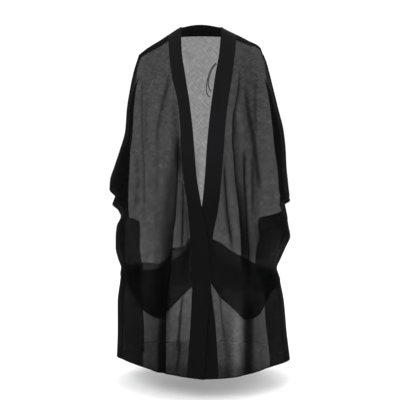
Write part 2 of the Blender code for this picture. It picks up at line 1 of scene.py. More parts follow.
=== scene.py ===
"""The looks of the bisht: sheer cloth, bands, trim and tie cord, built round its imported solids.

Metres, +Z up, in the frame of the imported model. The front faces -Y and +X is on the right as one
faces the cloak. A "drop" is a height under the shoulder mounts, and "out" is a distance from the
middle. Each panel is one open sheet of cloth on the same surface as its solid: that surface is a
function of a zone of the half, a place in the zone from 0 to 1, and a drop. A folded panel is a
path of drops and of offsets from the surface.
"""

import math

import bpy
import numpy as np
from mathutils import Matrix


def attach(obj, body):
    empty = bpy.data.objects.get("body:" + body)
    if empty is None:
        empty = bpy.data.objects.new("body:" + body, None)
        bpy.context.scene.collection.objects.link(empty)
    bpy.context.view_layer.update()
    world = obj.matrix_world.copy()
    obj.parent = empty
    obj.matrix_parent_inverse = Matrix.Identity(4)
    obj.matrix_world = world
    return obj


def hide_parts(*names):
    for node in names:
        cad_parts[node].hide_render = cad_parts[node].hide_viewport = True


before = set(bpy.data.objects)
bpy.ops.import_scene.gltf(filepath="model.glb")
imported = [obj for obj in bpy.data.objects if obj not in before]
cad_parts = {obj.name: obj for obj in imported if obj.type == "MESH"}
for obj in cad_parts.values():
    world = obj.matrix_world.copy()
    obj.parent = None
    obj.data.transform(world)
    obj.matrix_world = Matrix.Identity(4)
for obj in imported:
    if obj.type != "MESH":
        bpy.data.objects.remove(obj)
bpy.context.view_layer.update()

LEFT, RIGHT = "left", "right"
SIGN = {LEFT: -1.0, RIGHT: 1.0}
BAND, FRONT, PLEAT, BACK = "band", "front", "pleat", "back"
QUARTER = math.pi / 2


def table(text):
    """A table's columns by name, from lines of numbers under a line of names."""
    names, *rows = text.strip().splitlines()
    return dict(zip(names.split(), np.array([row.split() for row in rows], float).T))


# --- Sizes shared with the solids -------------------------------------------------------------

LENGTH = 1.457
SHOULDER_RISE = 0.14  # the drop over which the cloth rolls over the shoulder
BACK_POWER = 2.3
REAR_FOLD_INSET = 0.004
REAR_FOLD_INSET_TOP = 0.040
REAR_FOLD_SPREAD_DROPS = (0.10, 0.30)
TUCK_DROP = 1.06
HEM_LIFT = {LEFT: 0.024, RIGHT: 0.013}
HEM_LIFT_SKEW = 1.6
HEM_EVENING = 0.34  # how much lower the hem hangs where it lies in a fold, as a share of its depth
FOLD_HOLD = 0.25
FOLD_FADE = 0.12
NAPE_INNER_REACH = 0.080
NAPE_OUTER_REACH = 0.122
NAPE_INNER_RISE = 0.022
NAPE_OUTER_DROP = 0.018
CORD_DIAMETER = 0.0035
NECK_BAND_OVER = 0.10  # how far it reaches over the back's top edge, as a share of its width
BAND_FACES = (-0.0015, 0.0009)  # a band's inner and outer face, off the cloth's surface
SEAM_TAPE_WIDTH = 0.012
SEAM_TAPE_FACES = (0.0002, 0.0018)
BINDING_RADIUS = 0.0020
SLITS = {LEFT: (0.708, 0.806), RIGHT: (0.742, 0.836)}  # top and bottom drop of each hand slit
SLIT_FRONT_GAPE = 0.018
SLIT_BACK_GAPE = 0.003
LEAST_BOUND_GAPE = 0.0068

# The shoulder line, from beside the neck to the shoulder tips.
RIDGE = table("""
drop left right
.000 .081 .090
.016 .107 .120
.059 .172 .206
.089 .222 .258
.118 .261 .270
""")

# The outer edge of the sleeves and sides.
SIDE = table("""
drop left right
 .118 .261 .272
 .145 .270 .283
 .182 .282 .294
 .267 .301 .316
 .353 .315 .338
 .440 .322 .360
 .526 .346 .370
 .600 .371 .374
 .657 .389 .380
 .700 .392 .385
 .728 .369 .389
 .744 .374 .392
 .760 .379 .369
 .785 .356 .373
 .812 .346 .379
 .856 .364 .387
 .900 .369 .395
 .950 .370 .375
1.000 .360 .354
1.040 .348 .339
1.103 .355 .356
1.193 .367 .374
1.330 .369 .388
1.457 .375 .405
""")

# How far the pleat behind the arm reaches in. It steps in under the wrist, where the sleeve ends.
PLEATS = table("""
drop left right
 .118 .000 .000
 .182 .009 .008
 .267 .017 .018
 .353 .022 .028
 .440 .025 .038
 .526 .037 .039
 .600 .058 .032
 .657 .073 .032
 .700 .074 .034
 .728 .050 .032
 .744 .054 .035
 .760 .059 .012
 .785 .036 .012
 .799 .031 .014
 .807 .029 .032
 .818 .029 .080
 .826 .036 .114
 .836 .070 .122
 .846 .090 .125
 .880 .098 .130
 .917 .099 .126
 .950 .098 .118
1.000 .094 .104
1.040 .088 .086
1.103 .092 .078
1.193 .105 .081
1.330 .112 .085
1.457 .118 .085
""")

# How far the front and the back stand off the side line, where it lies, how wide the pleat's
# mouth is, and the power of the front's section.
DEPTH = table("""
drop front back side_y mouth power
 .00 .088 .118  .000 .052 2.40
 .10 .102 .126  .000 .055 2.40
 .15 .115 .131 -.001 .058 2.40
 .25 .136 .140 -.004 .064 2.40
 .45 .160 .148 -.012 .070 2.40
 .70 .181 .158 -.024 .082 2.30
 .90 .200 .170 -.028 .088 2.10
1.06 .221 .184 -.026 .092 1.85
1.20 .242 .202 -.022 .098 1.65
1.46 .280 .250 -.014 .110 1.50
""")

# The front bands' edges, how far the inner one is turned in, and their overlap in depth.
BANDS = table("""
drop left_inner left_outer right_inner right_outer left_turn right_turn lap
 .00  .081 .137  .090 .158 .000 .000 .0000
 .11  .076 .130  .081 .147 .004 .003 .0000
 .22  .060 .116  .062 .133 .010 .006 .0000
 .32  .044 .093  .048 .117 .018 .008 .0000
 .42  .032 .082  .036 .105 .020 .008 .0000
 .52  .023 .078  .027 .098 .018 .006 .0010
 .63  .014 .070  .020 .090 .012 .004 .0025
 .75 -.006 .052  .008 .078 .004 .002 .0030
 .91 -.035 .040 -.019 .050 .000 .000 .0030
1.06 -.045 .032 -.025 .045 .000 .000 .0030
1.24 -.031 .040 -.010 .064 .000 .000 .0030
1.46 -.018 .055  .006 .077 .000 .000 .0030
""")

# The hip tuck's stitch line and folded edge, by distance from the centre.
TUCK_FRONT = table("""
out left_stitch left_fold right_stitch right_fold
.030  .892 1.079  .889 1.037
.055  .943 1.105  .903 1.087
.080  .965 1.133  .916 1.130
.105  .979 1.162  .938 1.157
.130  .997 1.198  .954 1.185
.155 1.007 1.221  .969 1.220
.180 1.017 1.215  .982 1.229
.205 1.029 1.203  .994 1.222
.230 1.036 1.189 1.007 1.204
.255 1.043 1.163 1.023 1.170
.280 1.047 1.131 1.038 1.138
.310 1.051 1.088 1.055 1.110
.350 1.055 1.070 1.066 1.090
""")
TUCK_BACK = table("""
out stitch fold
.00 1.000 1.140
.07 1.012 1.160
.15 1.088 1.198
.22 1.100 1.204
.30 1.078 1.182
.37 1.042 1.132
""")

# The largest folds, which the solids have too. Positive depths are troughs.
FOLDS = {
    LEFT: table("""
top_out end_out top_drop end_drop depth width
.124 .176  .18  .62  .010 .018
.099 .118  .32 1.05  .016 .016
.235 .236  .20  .86  .008 .020
.158 .168  .55 1.10 -.010 .022
.148 .152 1.00 1.60  .018 .020
.205 .225  .95 1.60 -.012 .030
"""),
    RIGHT: table("""
top_out end_out top_drop end_drop depth width
.142 .176  .30 1.02  .014 .016
.188 .248  .28  .78  .012 .018
.103 .142  .64 1.02  .012 .015
.180 .207  .56  .94  .010 .015
.205 .204 1.12 1.60  .016 .020
.140 .150 1.00 1.60 -.010 .026
"""),
    BACK: table("""
top_out end_out top_drop end_drop depth width
.050 .075 .34 1.60 -.012 .034
.125 .165 .26 1.60  .014 .032
.200 .245 .30 1.60 -.012 .030
.262 .305 .40 1.60  .012 .024
"""),
}

# The tie cord on the right band: one bight, drawn as its two strands. (x, y, z)
CORD_ROUTES = {
    "outer": (
        (0.0665, -0.1200, -0.165),
        (0.0620, -0.1225, -0.1685),
        (0.0560, -0.1240, -0.1745),
        (0.0480, -0.1260, -0.186),
        (0.0410, -0.1285, -0.200),
        (0.0355, -0.1310, -0.216),
        (0.0310, -0.1330, -0.233),
        (0.0280, -0.1350, -0.250),
        (0.0265, -0.1365, -0.266),
        (0.0270, -0.1380, -0.281),
        (0.0305, -0.1395, -0.294),
        (0.0370, -0.1405, -0.302),
        (0.0430, -0.1410, -0.3055),
    ),
    "inner": (
        (0.0680, -0.1230, -0.170),
        (0.0650, -0.1265, -0.1725),
        (0.0590, -0.1285, -0.178),
        (0.0515, -0.1305, -0.189),
        (0.0450, -0.1330, -0.203),
        (0.0395, -0.1355, -0.219),
        (0.0352, -0.1375, -0.236),
        (0.0335, -0.1388, -0.250),
        (0.0350, -0.1398, -0.263),
        (0.0395, -0.1405, -0.274),
        (0.0460, -0.1410, -0.2815),
    ),
}

# --- Sizes of the looks -----------------------------------------------------------------------

CAMERA_PLACE = (0.0, -3.0, -0.45684565)
CAMERA_PITCH = math.atan(66 / 686)  # the photo's horizon is 66 px above its middle
SENSOR = 36.0
CAMERA_LENS = SENSOR * 686 / 400  # a focal length of 686 px in a frame 400 px wide
FLOOR_DROP = 1.56
FLOOR_RADIUS = 40.0
LIGHT_AIM_DROP = 0.6

ROLL_ROWS = 34
FRONT_STEP = 0.0040  # between rows of a front panel or band
BACK_STEP = 0.0046
TURN_ROWS = 6  # round a folded edge
FRONT_COLUMNS = 185
PLEAT_COLUMNS = 48
BACK_COLUMNS = 108  # for one half
EVEN_DROP = 0.70  # where the columns are evenly spaced

UPPER_OFFSET = -0.00075  # of the upper cloth, and of the tuck layer under its fold
OVER_TUCK_OFFSET = 0.00105  # of the upper cloth where it lies over the tuck
STRIP_OFFSET = -0.0024  # of the tuck layer's raw edge, above the stitch line
STRIP_RISE = 0.008  # the drop over which that edge steps in
LOWER_OFFSET = -0.0025
LOWER_START = 0.006  # how far above the stitch line the lower cloth begins
UNDER_EDGE = 0.006  # the drop over which it comes out from under the tuck
TUCK_RISE = 0.012  # the drop over which the cloth steps out over the tuck
# The height of the tuck layer above its stitch line.
STRIP_HEIGHT = table("""
out left right back
.030 .016 .010 .008
.060 .033 .010 .008
.085 .045 .010 .008
.110 .050 .010 .008
.128 .028 .010 .008
.165 .020 .010 .008
.200 .037 .010 .008
.245 .045 .010 .008
.350 .045 .010 .008
""")
# How much higher the hem looks than the solids' hem.
HEM_TRIMS = table("""
out left right
.055  .0090  .0020
.100  .0090  .0010
.125  .0070  .0000
.150  .0020 -.0010
.200 -.0020 -.0020
.250 -.0025 -.0030
.285  .0000  .0000
.310  .0030  .0000
.330  .0080  .0000
.350  .0120  .0000
.380  .0130  .0000
""")
HEM_TRIM_REAR = 0.285  # how far out the back's hem begins to follow them
HEM_HEIGHT = 0.005
HEM_RADIUS = 0.0006
HEM_STITCH = 0.0015  # from the hem's upper edge down to its stitches
SEAM_ALLOWANCE = 0.015
SEAM_EDGE = 0.003  # the width over which it ends
SEAM_MORE = 1.3
SLIT_FRONT_REACH = 0.05  # how far in from a hand slit the cloth is drawn aside
SLIT_BACK_REACH = 0.016
NOISE_CELLS = 67  # after which the noise repeats
RIPPLES = ((0.034, 0.30, 0.0016), (0.013, 0.11, 0.0005))  # width, height and size of each
CALM_SHARE = 0.06  # of a panel's width, beside its edges, without ripples
CREASE_HOLD_SHARE = 0.03  # the same without creases, beside the front's edges
CREASE_HOLD_DROP = 0.12  # the drop over which creases grow below the shoulder line
BAND_COLUMNS = 17  # across it
BAND_RIPPLE = 0.0007
NECK_COLUMNS = 16  # across it
NECK_ROWS = 46  # along one half
NECK_BLEND_ROWS = 6.0  # over which the neck band meets the front bands' ends
STITCH_PITCH = 0.0034
STITCH_SHARE = 0.74  # of the pitch that a stitch covers
THREAD_RADIUS = 0.00030
BINDING_WRAP = 0.0022  # of the thread round a hand slit's edge
BINDING_SWELL = (0.80, 0.22)  # its least share of the binding's radius, and what a wrap adds
BINDING_CLEAR = 0.0006  # between the cloth's edge and the binding
TAPE_START = 0.004  # the shoulder tape's turn, under the shoulder's tip
TAPE_END = 0.008  # how far above the hand slit it ends
TAPE_STEP = 0.006


def creases(text):
    """Creases, each as a route of drops and of outs and its seven numbers."""
    rows = [[np.array(part.split(), float) for part in row.split(":")] for row in text.split(";")]
    return [(route.reshape(-1, 2).T, *numbers) for numbers, route in rows]


# Creases finer than the solids' folds. Each has its width at the two ends, its depth, its lap (over
# 0.6 the cloth doubles over itself), how much denser the cloth looks along it at the two ends, its
# lean (over 0 its outer side is the softer one), and its route as drops and outs.
CREASES = {
    LEFT: creases("""
.005 .01 .003 1.1 1.9 1.7 1 :  .42 .087  .56 .092  .65 .094  .73 .099  .79 .103  .85 .111  .95 .118
     1.02 .126  1.14 .143  1.2 .146  1.6 .147 ;
.018 .021 .003 0 .1 1.8 1 :  .5 .108  .66 .118  .79 .13  .91 .134  1.03 .137  1.14 .147  1.28 .15 ;
.012 .0115 .002 0 2 1.7 0 :  1.16 .158  1.26 .162  1.34 .165  1.6 .16 ;
.006 .01 .003 0 .9 .25 0 :  .16 .12  .235 .132  .317 .149  .4 .167  .48 .178  .53 .18 ;
.0046 .005 .001 .3 .38 .36 1 :  .16 .241  .4 .24  .48 .239  .57 .232  .65 .23  .73 .231  .84 .236 ;
.007 .009 .002 0 .25 .3 0 :  .52 .262  .65 .261  .73 .267  .83 .27 ;
.0048 .0062 .002 .5 1.5 1 0 :  .58 .07  .69 .07  .81 .0715  .92 .075  1 .079 ;
.0068 .007 .001 0 .95 .7 0 :  .66 .052  .79 .052  .84 .048  .9 .049  .96 .05 ;
.0045 .006 .002 .3 1.1 1 0 :  1.1 .068  1.27 .092 ;
.005 .006 .002 .3 1 1.2 0 :  1.19 .07  1.25 .084  1.36 .097 ;
.005 .007 .002 .3 1 .8 0 :  1.27 .079  1.33 .084  1.45 .1 ;
.0045 .005 .001 .8 .5 .5 0 :  1.28 .166  1.37 .146  1.46 .192
"""),
    RIGHT: creases("""
.0042 .0098 .002 1 1.65 2.6 1 :  .17 .166  .22 .161  .3 .1525  .4 .1348  .48 .133  .56 .139  .65 .1465
     .73 .159  .79 .165  .85 .169  .95 .174  1.04 .18 ;
.008 .009 .003 0 .8 1 0 :  .22 .184  .3 .192  .4 .207  .48 .221  .56 .232  .65 .244  .74 .256 ;
.005 .01 .002 0 .45 .45 -1 :  .18 .238  .25 .235  .32 .232  .42 .232  .52 .228 ;
.006 .009 .002 .8 2.3 1.6 0 :  .55 .096  .63 .101  .69 .106  .73 .109  .79 .115  .85 .124  .97 .137 ;
.007 .012 .002 .8 2.5 1.6 0 :  .5 .18  .65 .184  .73 .19  .79 .194  .85 .197  .92 .202  1.12 .204 ;
.006 .007 .002 0 .6 1.1 0 :  .5 .217  .61 .219  .69 .219  .82 .221 ;
.0042 .006 .001 .6 .9 .5 0 :  1.05 .066  1.12 .08  1.16 .086  1.21 .09  1.26 .097  1.34 .104 ;
.01 .01 .002 0 .18 .18 0 :  .96 .096  1.04 .095  1.13 .091 ;
.008 .008 .002 0 .12 .12 0 :  .97 .147  1.04 .149  1.14 .147 ;
.012 .013 .002 0 .4 .45 0 :  1.18 .106  1.3 .109  1.37 .113  1.6 .12 ;
.017 .019 .003 0 1.6 2.3 0 :  1.1 .203  1.25 .206  1.31 .206  1.37 .203  1.6 .2 ;
.012 .012 .001 0 .8 .8 0 :  .79 .335  .86 .362  .96 .394 ;
.015 .017 -.002 0 -.42 -.42 0 :  1.12 .152  1.6 .148
"""),
    BACK + LEFT: creases("""
.012 .018 .003 0 .35 .35 1 :  .24 .104  .7 .118  1.02 .14  1.6 .16 ;
.01 .015 .002 0 .18 .18 0 :  .34 .19  .8 .202  1.6 .216 ;
.008 .009 .003 0 .2 .2 0 :  .2 .238  .62 .256 ;
.012 .018 .003 0 .25 .25 -1 :  .5 .018  1.1 .03  1.6 .026
"""),
    BACK + RIGHT: creases("""
.01 .016 .003 0 .35 .35 1 :  .3 .152  .76 .182  1.6 .226 ;
.009 .011 .003 0 .22 .22 0 :  .22 .1  .6 .112  .98 .126 ;
.008 .012 .002 0 .25 .25 0 :  .46 .246  1 .27  1.6 .282 ;
.009 .014 .002 0 .22 .22 0 :  .86 .05  1.6 .064
"""),
}
CREASE_FADE = 0.14  # the most drop over which a crease grows or dies, and its most share
CREASE_FADE_SHARE = 0.35
SHARP_SIDE, SOFT_SIDE = 1.7, 0.62  # how a leaning crease's two sides are scaled
LAP_RISE = 0.36  # how far a doubled crease stands up, as a share of how far it slides over

# Where the sleeves and sides look denser, in from their edge, and by how much.
RIMS = table("""
drop left_out right_out left_more right_more
 .118 .264 .272 1.0 1.0
 .151 .264 .273 1.0 1.0
 .230 .267 .278 1.0 1.0
 .315 .275 .290 1.2 1.2
 .398 .284 .302 1.2 1.2
 .482 .294 .309 1.2 1.2
 .565 .301 .323 1.2 1.2
 .648 .305 .334 1.0 1.0
 .733 .310 .342 1.2 1.2
 .780 .312 .350 1.2 1.2
 .804 .312 .285 1.3 1.0
 .824 .314 .285 1.6 1.0
 .838 .316 .306 1.6 1.0
 .866 .318 .350 1.6 1.0
 .900 .318 .345 1.6 1.0
 .950 .316 .335 1.6 1.0
1.000 .316 .315 1.6 1.0
1.060 .318 .316  .9  .9
1.120 .325 .335 1.7 1.4
1.300 .334 .352 1.9 1.4
1.457 .342 .370 1.9 1.4
""")
RIM_EDGE = 0.006  # the width over which the denser rim begins
REAR_RIM = 0.016  # how wide the rim is at the back
YOKES = {LEFT: (0.011, 0.014), RIGHT: (0.011, 0.004)}  # of the denser cloth under the ridge
YOKE_REACH = (0.14, 0.26)
YOKE_EDGE = 0.005
YOKE_MORE = 1.8
# How much denser the pleat's doubled layers look.
PLEAT_MORE = table("""
drop left right
 .200  .00  .00
 .320  .05  .05
 .780  .10  .10
 .826 -.28 -.25
1.010 -.26 -.24
1.060 -.20 -.22
1.120 -.16 -.18
1.457 -.06 -.06
""")

# The crumpled cuffs: middle drop, half height, and how far out they begin.
CUFFS = {LEFT: (0.745, 0.045, 0.305), RIGHT: (0.760, 0.040, 0.335)}
CUFF_EDGE = 0.03
CUFF_RISE = 0.0030
CRUMPLES = ((0.011, 0.009, 1.0), (0.005, 0.005, 0.5))  # width, height and share of the rise

# The lines on the front skirts below which the back, and then the rear and the front leaf of the
# pleats, no longer lie behind them. The skirts look denser there, so that their tone goes on: partly
# as a stand-in for the layers that end, partly as painted shade for the shadow behind the hem.
HEM_LINES = table("""
out left_back left_rear left_pleat right_back right_rear right_pleat
.050 1.2986 1.366 1.371 1.2996 1.388 1.392
.090 1.3036 1.366 1.371 1.3026 1.388 1.392
.125 1.3126 1.366 1.371 1.3076 1.388 1.392
.160 1.3196 1.366 1.371 1.3106 1.388 1.392
.190 1.3176 1.366 1.371 1.3166 1.388 1.392
.220 1.3236 1.366 1.371 1.3226 1.388 1.392
.240 1.3326 1.366 1.371 1.3286 1.388 1.392
.260 1.3416 1.369 1.379 1.3366 1.388 1.392
.280 1.3476 1.373 1.386 1.3426 1.388 1.392
.310 1.3556 1.379 1.399 1.3536 1.389 1.397
.340 1.3766 1.388 1.413 1.3686 1.395 1.411
.370 1.3866 1.390 1.431 1.3916 1.403 1.426
.400 1.3866 1.390 1.431 1.3936 1.404 1.444
""")
HEM_LINE_EDGE = 0.004
# Partly painted shade: how much denser the front skirts are made below the back's line.
BEHIND_MORE_AND_PAINTED_SHADE = {LEFT: 1.30, RIGHT: 1.05}  # below the back's line
PLEAT_HEM_MORE = 0.85  # below each of the pleats' lines
PLEAT_HEM_OUT = {LEFT: 0.241, RIGHT: 0.298}  # how far in the pleats reach at the hem

# Patches that hang denser or thinner: middle, half height and half width, and change.
PATCHES = {
    LEFT: table("""
drop out high wide change
1.30 .205 .22 .050  .62
1.28 .090 .16 .050  .16
 .14 .190 .12 .060  .10
1.09 .205 .07 .030 -.16
1.10 .085 .09 .030 -.16
.523 .278 .19 .014 -.22
.551 .087 .06 .014 1.50
 .60 .190 .20 .040 -.10
 .80 .068 .20 .026  .34
"""),
    RIGHT: table("""
drop out high wide change
 .46 .163  .18 .014 -.35
 .42 .190  .26 .060  .30
 .20 .200  .14 .080  .12
 .88 .214  .08 .020  .35
 .91 .184  .07 .012  .60
.856 .312 .012 .045  .70
 .95 .212  .04 .020  .40
 .91 .256  .09 .030  .62
1.30 .255  .20 .040  .25
1.44 .255  .08 .040  .20
1.26 .085  .14 .040  .20
1.43 .150  .05 .030 -.14
1.06 .118  .12 .012 -.14
1.06 .168  .12 .010 -.14
"""),
}

UNDER_TUCK = {FRONT: 0.80, BACK: 0.15}  # how dense the layers inside the tuck look
FOLD_SHARE = 0.8  # the same at the tuck's fold
STRIP_SHARE = 0.80
HEM_SHARES = {FRONT: 0.5, BACK: 0.12}

# Colours, linear RGB
SHEER = (0.0016, 0.0016, 0.0018)
BAND_BLACK = (0.0056, 0.0056, 0.0062)
# Painted shade: the bands are painted darker towards their lower ends.
BAND_LOW_PAINTED_SHADE = 0.48  # how dark the bands' lower ends look, as a share of the top
BAND_PAINTED_SHADE_HEIGHTS = (-0.76, -0.52)  # the heights between which they darken
TRIM_BLACK = (0.0036, 0.0036, 0.0040)
TRIM_TONES = (0.7, 1.4)  # the darkest and the lightest thread, as shares of it
PASSED = 0.245  # the share of light that one layer of the sheer cloth lets through
SLUBS, CLOUD, THREADS = 0.56, 0.30, 0.24  # how much each of these changes the cloth's density
SLUB_LINES = ((0.86, 230.0), (-0.80, 210.0))  # the turns and the scales of the two sets of slubs
MOST_UNEVEN = 1.3  # the layers over which the cloth gets no more uneven
VOILE_THREAD, BAND_THREAD = 0.0006, 0.0005  # how wide a thread is


# --- Numbers ----------------------------------------------------------------------------------


def unit(vectors):
    return vectors / np.maximum(np.linalg.norm(vectors, axis=-1, keepdims=True), 1e-12)


def smoothstep(value):
    value = np.clip(value, 0.0, 1.0)
    return value * value * (3.0 - 2.0 * value)


def past(distance, width):
    """From 0 to 1 across an edge of this width, with its middle where the distance is 0."""
    return smoothstep(distance / width + 0.5)


def smooth_curve(x, y, where):
    """A smooth curve through points that doesn't overshoot them (a monotone cubic)."""
    step = np.diff(x)
    rise = np.diff(y) / step
    slope = np.empty_like(y)
    slope[0], slope[-1] = rise[0], rise[-1]
    ahead, behind = rise[1:], rise[:-1]
    same = ahead * behind > 0
    near, far = 2 * step[1:] + step[:-1], step[1:] + 2 * step[:-1]
    safe = [np.where(same, side, 1.0) for side in (behind, ahead)]
    slope[1:-1] = np.where(same, (near + far) / (near / safe[0] + far / safe[1]), 0.0)
    where = np.clip(where, x[0], x[-1])
    i = np.clip(np.searchsorted(x, where, side="right") - 1, 0, len(x) - 2)
    span = x[i + 1] - x[i]
    t = (where - x[i]) / span
    start = y[i] * (1 + 2 * t) + span * slope[i] * t
    stop = y[i + 1] * (3 - 2 * t) + span * slope[i + 1] * (t - 1)
    return start * (1 - t) ** 2 + stop * t**2


def at(values, name, where, key="drop"):
    return smooth_curve(values[key], values[name], where)


def noise(seed, x, y):
    """Smooth noise from -1 to 1, with one value to each unit cell, the same on every run."""
    n = NOISE_CELLS
    lattice = np.random.default_rng(seed).uniform(-1, 1, (n, n))
    i, j = np.floor(x).astype(int), np.floor(y).astype(int)
    s, t = smoothstep(x - i), smoothstep(y - j)
    near, far = (lattice[i % n, k % n] * (1 - s) + lattice[(i + 1) % n, k % n] * s for k in (j, j + 1))
    return near * (1 - t) + far * t


def layered_noise(seed, layers, out, drop):
    """Noise in layers, each with the width and the height of its cells and its size."""
    total = 0.0
    for i, (wide, high, size) in enumerate(layers):
        total = total + size * noise(seed + i, out / wide + 9, drop / high + 9)
    return total


def lengths(points, axis=0):
    """The distance travelled along an axis of a grid of points."""
    moved = np.linalg.norm(np.diff(points, axis=axis), axis=-1)
    start = np.zeros_like(np.take(moved, [0], axis=axis))
    return np.concatenate([start, np.cumsum(moved, axis=axis)], axis=axis)


def read_off(points, travelled, stops):
    """The points of a line where this much of it is travelled."""
    return np.stack([np.interp(stops, travelled, values) for values in points.T], -1)


# --- The cloth's surface ----------------------------------------------------------------------


def roll(fall):
    """How much of its depth the cloth has reached this far below the shoulder line."""
    rest = 1.0 - np.clip(fall / SHOULDER_RISE, 0.0, 1.0)
    return np.sqrt(1.0 - rest * rest)


def rolled_drops(top, stop, step):
    """Rows of drops from the shoulder line: by even turns over the shoulder, then straight down."""
    drops = [top + SHOULDER_RISE * (1 - math.cos(turn)) for turn in np.linspace(0, QUARTER, ROLL_ROWS)]
    return drops + steps(drops[-1], stop, step)


def steps(start, stop, step):
    """Rows from one drop to another, without the first, about this far apart."""
    count = max(2, round(float(np.max(np.abs(stop - start))) / step))
    return [start + (stop - start) * k / count for k in range(1, count + 1)]


def section(out, power):
    return np.maximum(0.0, 1.0 - np.clip(out, 0, 1) ** power) ** (1.0 / power)


def between(drop, start, stop, fade):
    """1 between two drops, and 0 beyond them, with this much to grow and to fade in."""
    return smoothstep((drop - start) / fade) * smoothstep((stop - drop) / fade)


def folds_at(folds, out, drop):
    """The depth of the solids' folds at this place."""
    total = 0.0
    for top, end, start, stop, depth, width in zip(*folds.values()):
        away = (out - np.interp(drop, (start, stop), (top, end))) / width
        total = total + depth * between(drop, start, stop, FOLD_FADE) * np.exp(-(away**2))
    return total


def rear_fold_out(side, drop):
    """Where the pleat's rear fold lies."""
    start, stop = REAR_FOLD_SPREAD_DROPS
    spread = REAR_FOLD_INSET_TOP * (1 - smoothstep((drop - start) / (stop - start)))
    return at(SIDE, side, drop) - REAR_FOLD_INSET - spread


def out_at(side, zone, place, drop):
    """How far out a place of a zone is at this drop."""
    inner = at(BANDS, f"{side}_inner", drop)
    outer = at(BANDS, f"{side}_outer", drop)
    edge = at(SIDE, side, drop)
    if zone == BAND:
        return inner + (outer - inner) * place
    if zone == FRONT:
        return outer + (edge - outer) * place
    if zone == BACK:
        return rear_fold_out(side, drop) * place
    reach = at(PLEATS, side, drop) * np.sin(math.pi * place) ** 2
    return edge - reach - (edge - rear_fold_out(side, drop)) * place


def nape_half(side):
    return BANDS[f"{side}_outer"][0]


def ridge_drop(side, out):
    return at(RIDGE, "drop", out, side)


def top_of(side, zone, place):
    """The drop of a place's top end, and how far behind the shoulder line it is."""
    drop = np.full(np.shape(place), RIDGE["drop"][-1] / 2)
    for _ in range(30):
        drop = ridge_drop(side, out_at(side, zone, place, drop))
    behind = np.zeros_like(drop)
    if zone != BACK:
        return drop, behind
    half = nape_half(side)
    share = np.minimum(1.0, out_at(side, zone, place, NAPE_OUTER_DROP) / half)
    on_nape = out_at(side, zone, place, drop) <= half - 1e-6
    nape_drop = NAPE_OUTER_DROP + (ridge_drop(side, half) - NAPE_OUTER_DROP) * share**2
    nape_y = NAPE_OUTER_REACH * np.sqrt(1 - share * share)
    return np.where(on_nape, nape_drop, drop), np.where(on_nape, nape_y, behind)


def tuck_at(side, zone, place):
    """The drops of the tuck's stitch line and folded edge at a place."""
    if zone == PLEAT:
        front = [TUCK_FRONT[f"{side}_{line}"][-1] for line in ("stitch", "fold")]
        back = tuck_at(side, BACK, np.ones(1))
        return [a + (b - a) * place for a, b in zip(front, back)]
    out = np.abs(out_at(side, zone, place, TUCK_DROP))
    lines, start = (TUCK_BACK, "") if zone == BACK else (TUCK_FRONT, f"{side}_")
    return [at(lines, start + line, out, "out") for line in ("stitch", "fold")]


def strip_at(side, zone, place):
    """The height of the tuck's strip above the stitch line."""
    out = np.abs(out_at(side, zone, place, TUCK_DROP))
    return at(STRIP_HEIGHT, side if zone == FRONT else BACK, out, "out")


def hem_at(side, zone, place):
    """The hem's drop at a place."""
    out = out_at(side, zone, place, LENGTH)
    trim = at(HEM_TRIMS, side, np.abs(out), "out")
    if zone == PLEAT:
        return LENGTH - HEM_TRIMS[side][-1] + 0 * place
    if zone != FRONT:
        return LENGTH - trim * (np.abs(out) > HEM_TRIM_REAR)
    lift = HEM_LIFT[side] * np.sin(math.pi * place**HEM_LIFT_SKEW)
    sunk = smoothstep(place / FOLD_HOLD) * folds_at(FOLDS[side], out, LENGTH)
    return LENGTH - lift - trim + HEM_EVENING * sunk


def depth_at(side, zone, place, drop, top, top_y):
    """Y of a place of a zone at a drop: negative in front, positive behind."""
    grown = roll(drop - top)
    side_y = at(DEPTH, "side_y", drop)
    rear_y = side_y + at(DEPTH, "mouth", drop) * grown
    out = out_at(side, zone, place, drop)
    if zone == PLEAT:
        return side_y + (rear_y - side_y) * place
    if zone == BACK:
        full = at(DEPTH, "back", drop) - folds_at(FOLDS[BACK], out, drop)
        bulge = section(place, BACK_POWER)
        return top_y * (1 - grown) + rear_y + (full - rear_y) * bulge * grown
    y = at(DEPTH, "front", drop)
    lap = at(BANDS, "lap", drop) * -SIGN[side]
    if zone == BAND:
        turn = at(BANDS, f"{side}_turn", drop) * (1 - place)
        return -(y - turn) * grown - lap
    hold = smoothstep(place / FOLD_HOLD)
    full = -y + hold * folds_at(FOLDS[side], out, drop) - lap * (1 - hold)
    bulge = section(place, at(DEPTH, "power", drop))
    return side_y + (full - side_y) * bulge * grown


def smooth_points(side, zone, place, drop, top=None):
    """Points of the surface; with a top, the drops are read as if from there."""
    own_top, top_y = top_of(side, zone, place)
    drop = drop if top is None else drop + own_top - top
    y = depth_at(side, zone, place, drop, own_top, top_y)
    y = np.where(drop - own_top <= 0, top_y, y)
    return np.stack(np.broadcast_arrays(SIGN[side] * out_at(side, zone, place, drop), y, -drop), -1)


def surface(side, zone, place, drop):
    """Points of the surface, the way across it, towards higher places, and its outward normals."""
    top, _ = top_of(side, zone, place)
    step, fall = 0.002, 0.0006
    here = smooth_points(side, zone, place, drop)
    ahead = smooth_points(side, zone, np.minimum(place + step, 1), drop, top)
    behind = smooth_points(side, zone, np.maximum(place - step, 0), drop, top)
    below = smooth_points(side, zone, place, drop + fall)
    above = smooth_points(side, zone, place, np.maximum(drop - fall, top))
    across = unit(ahead - behind)
    turn = -SIGN[side] * (-1 if zone == BACK else 1)
    return here, across, turn * unit(np.cross(across, below - above))


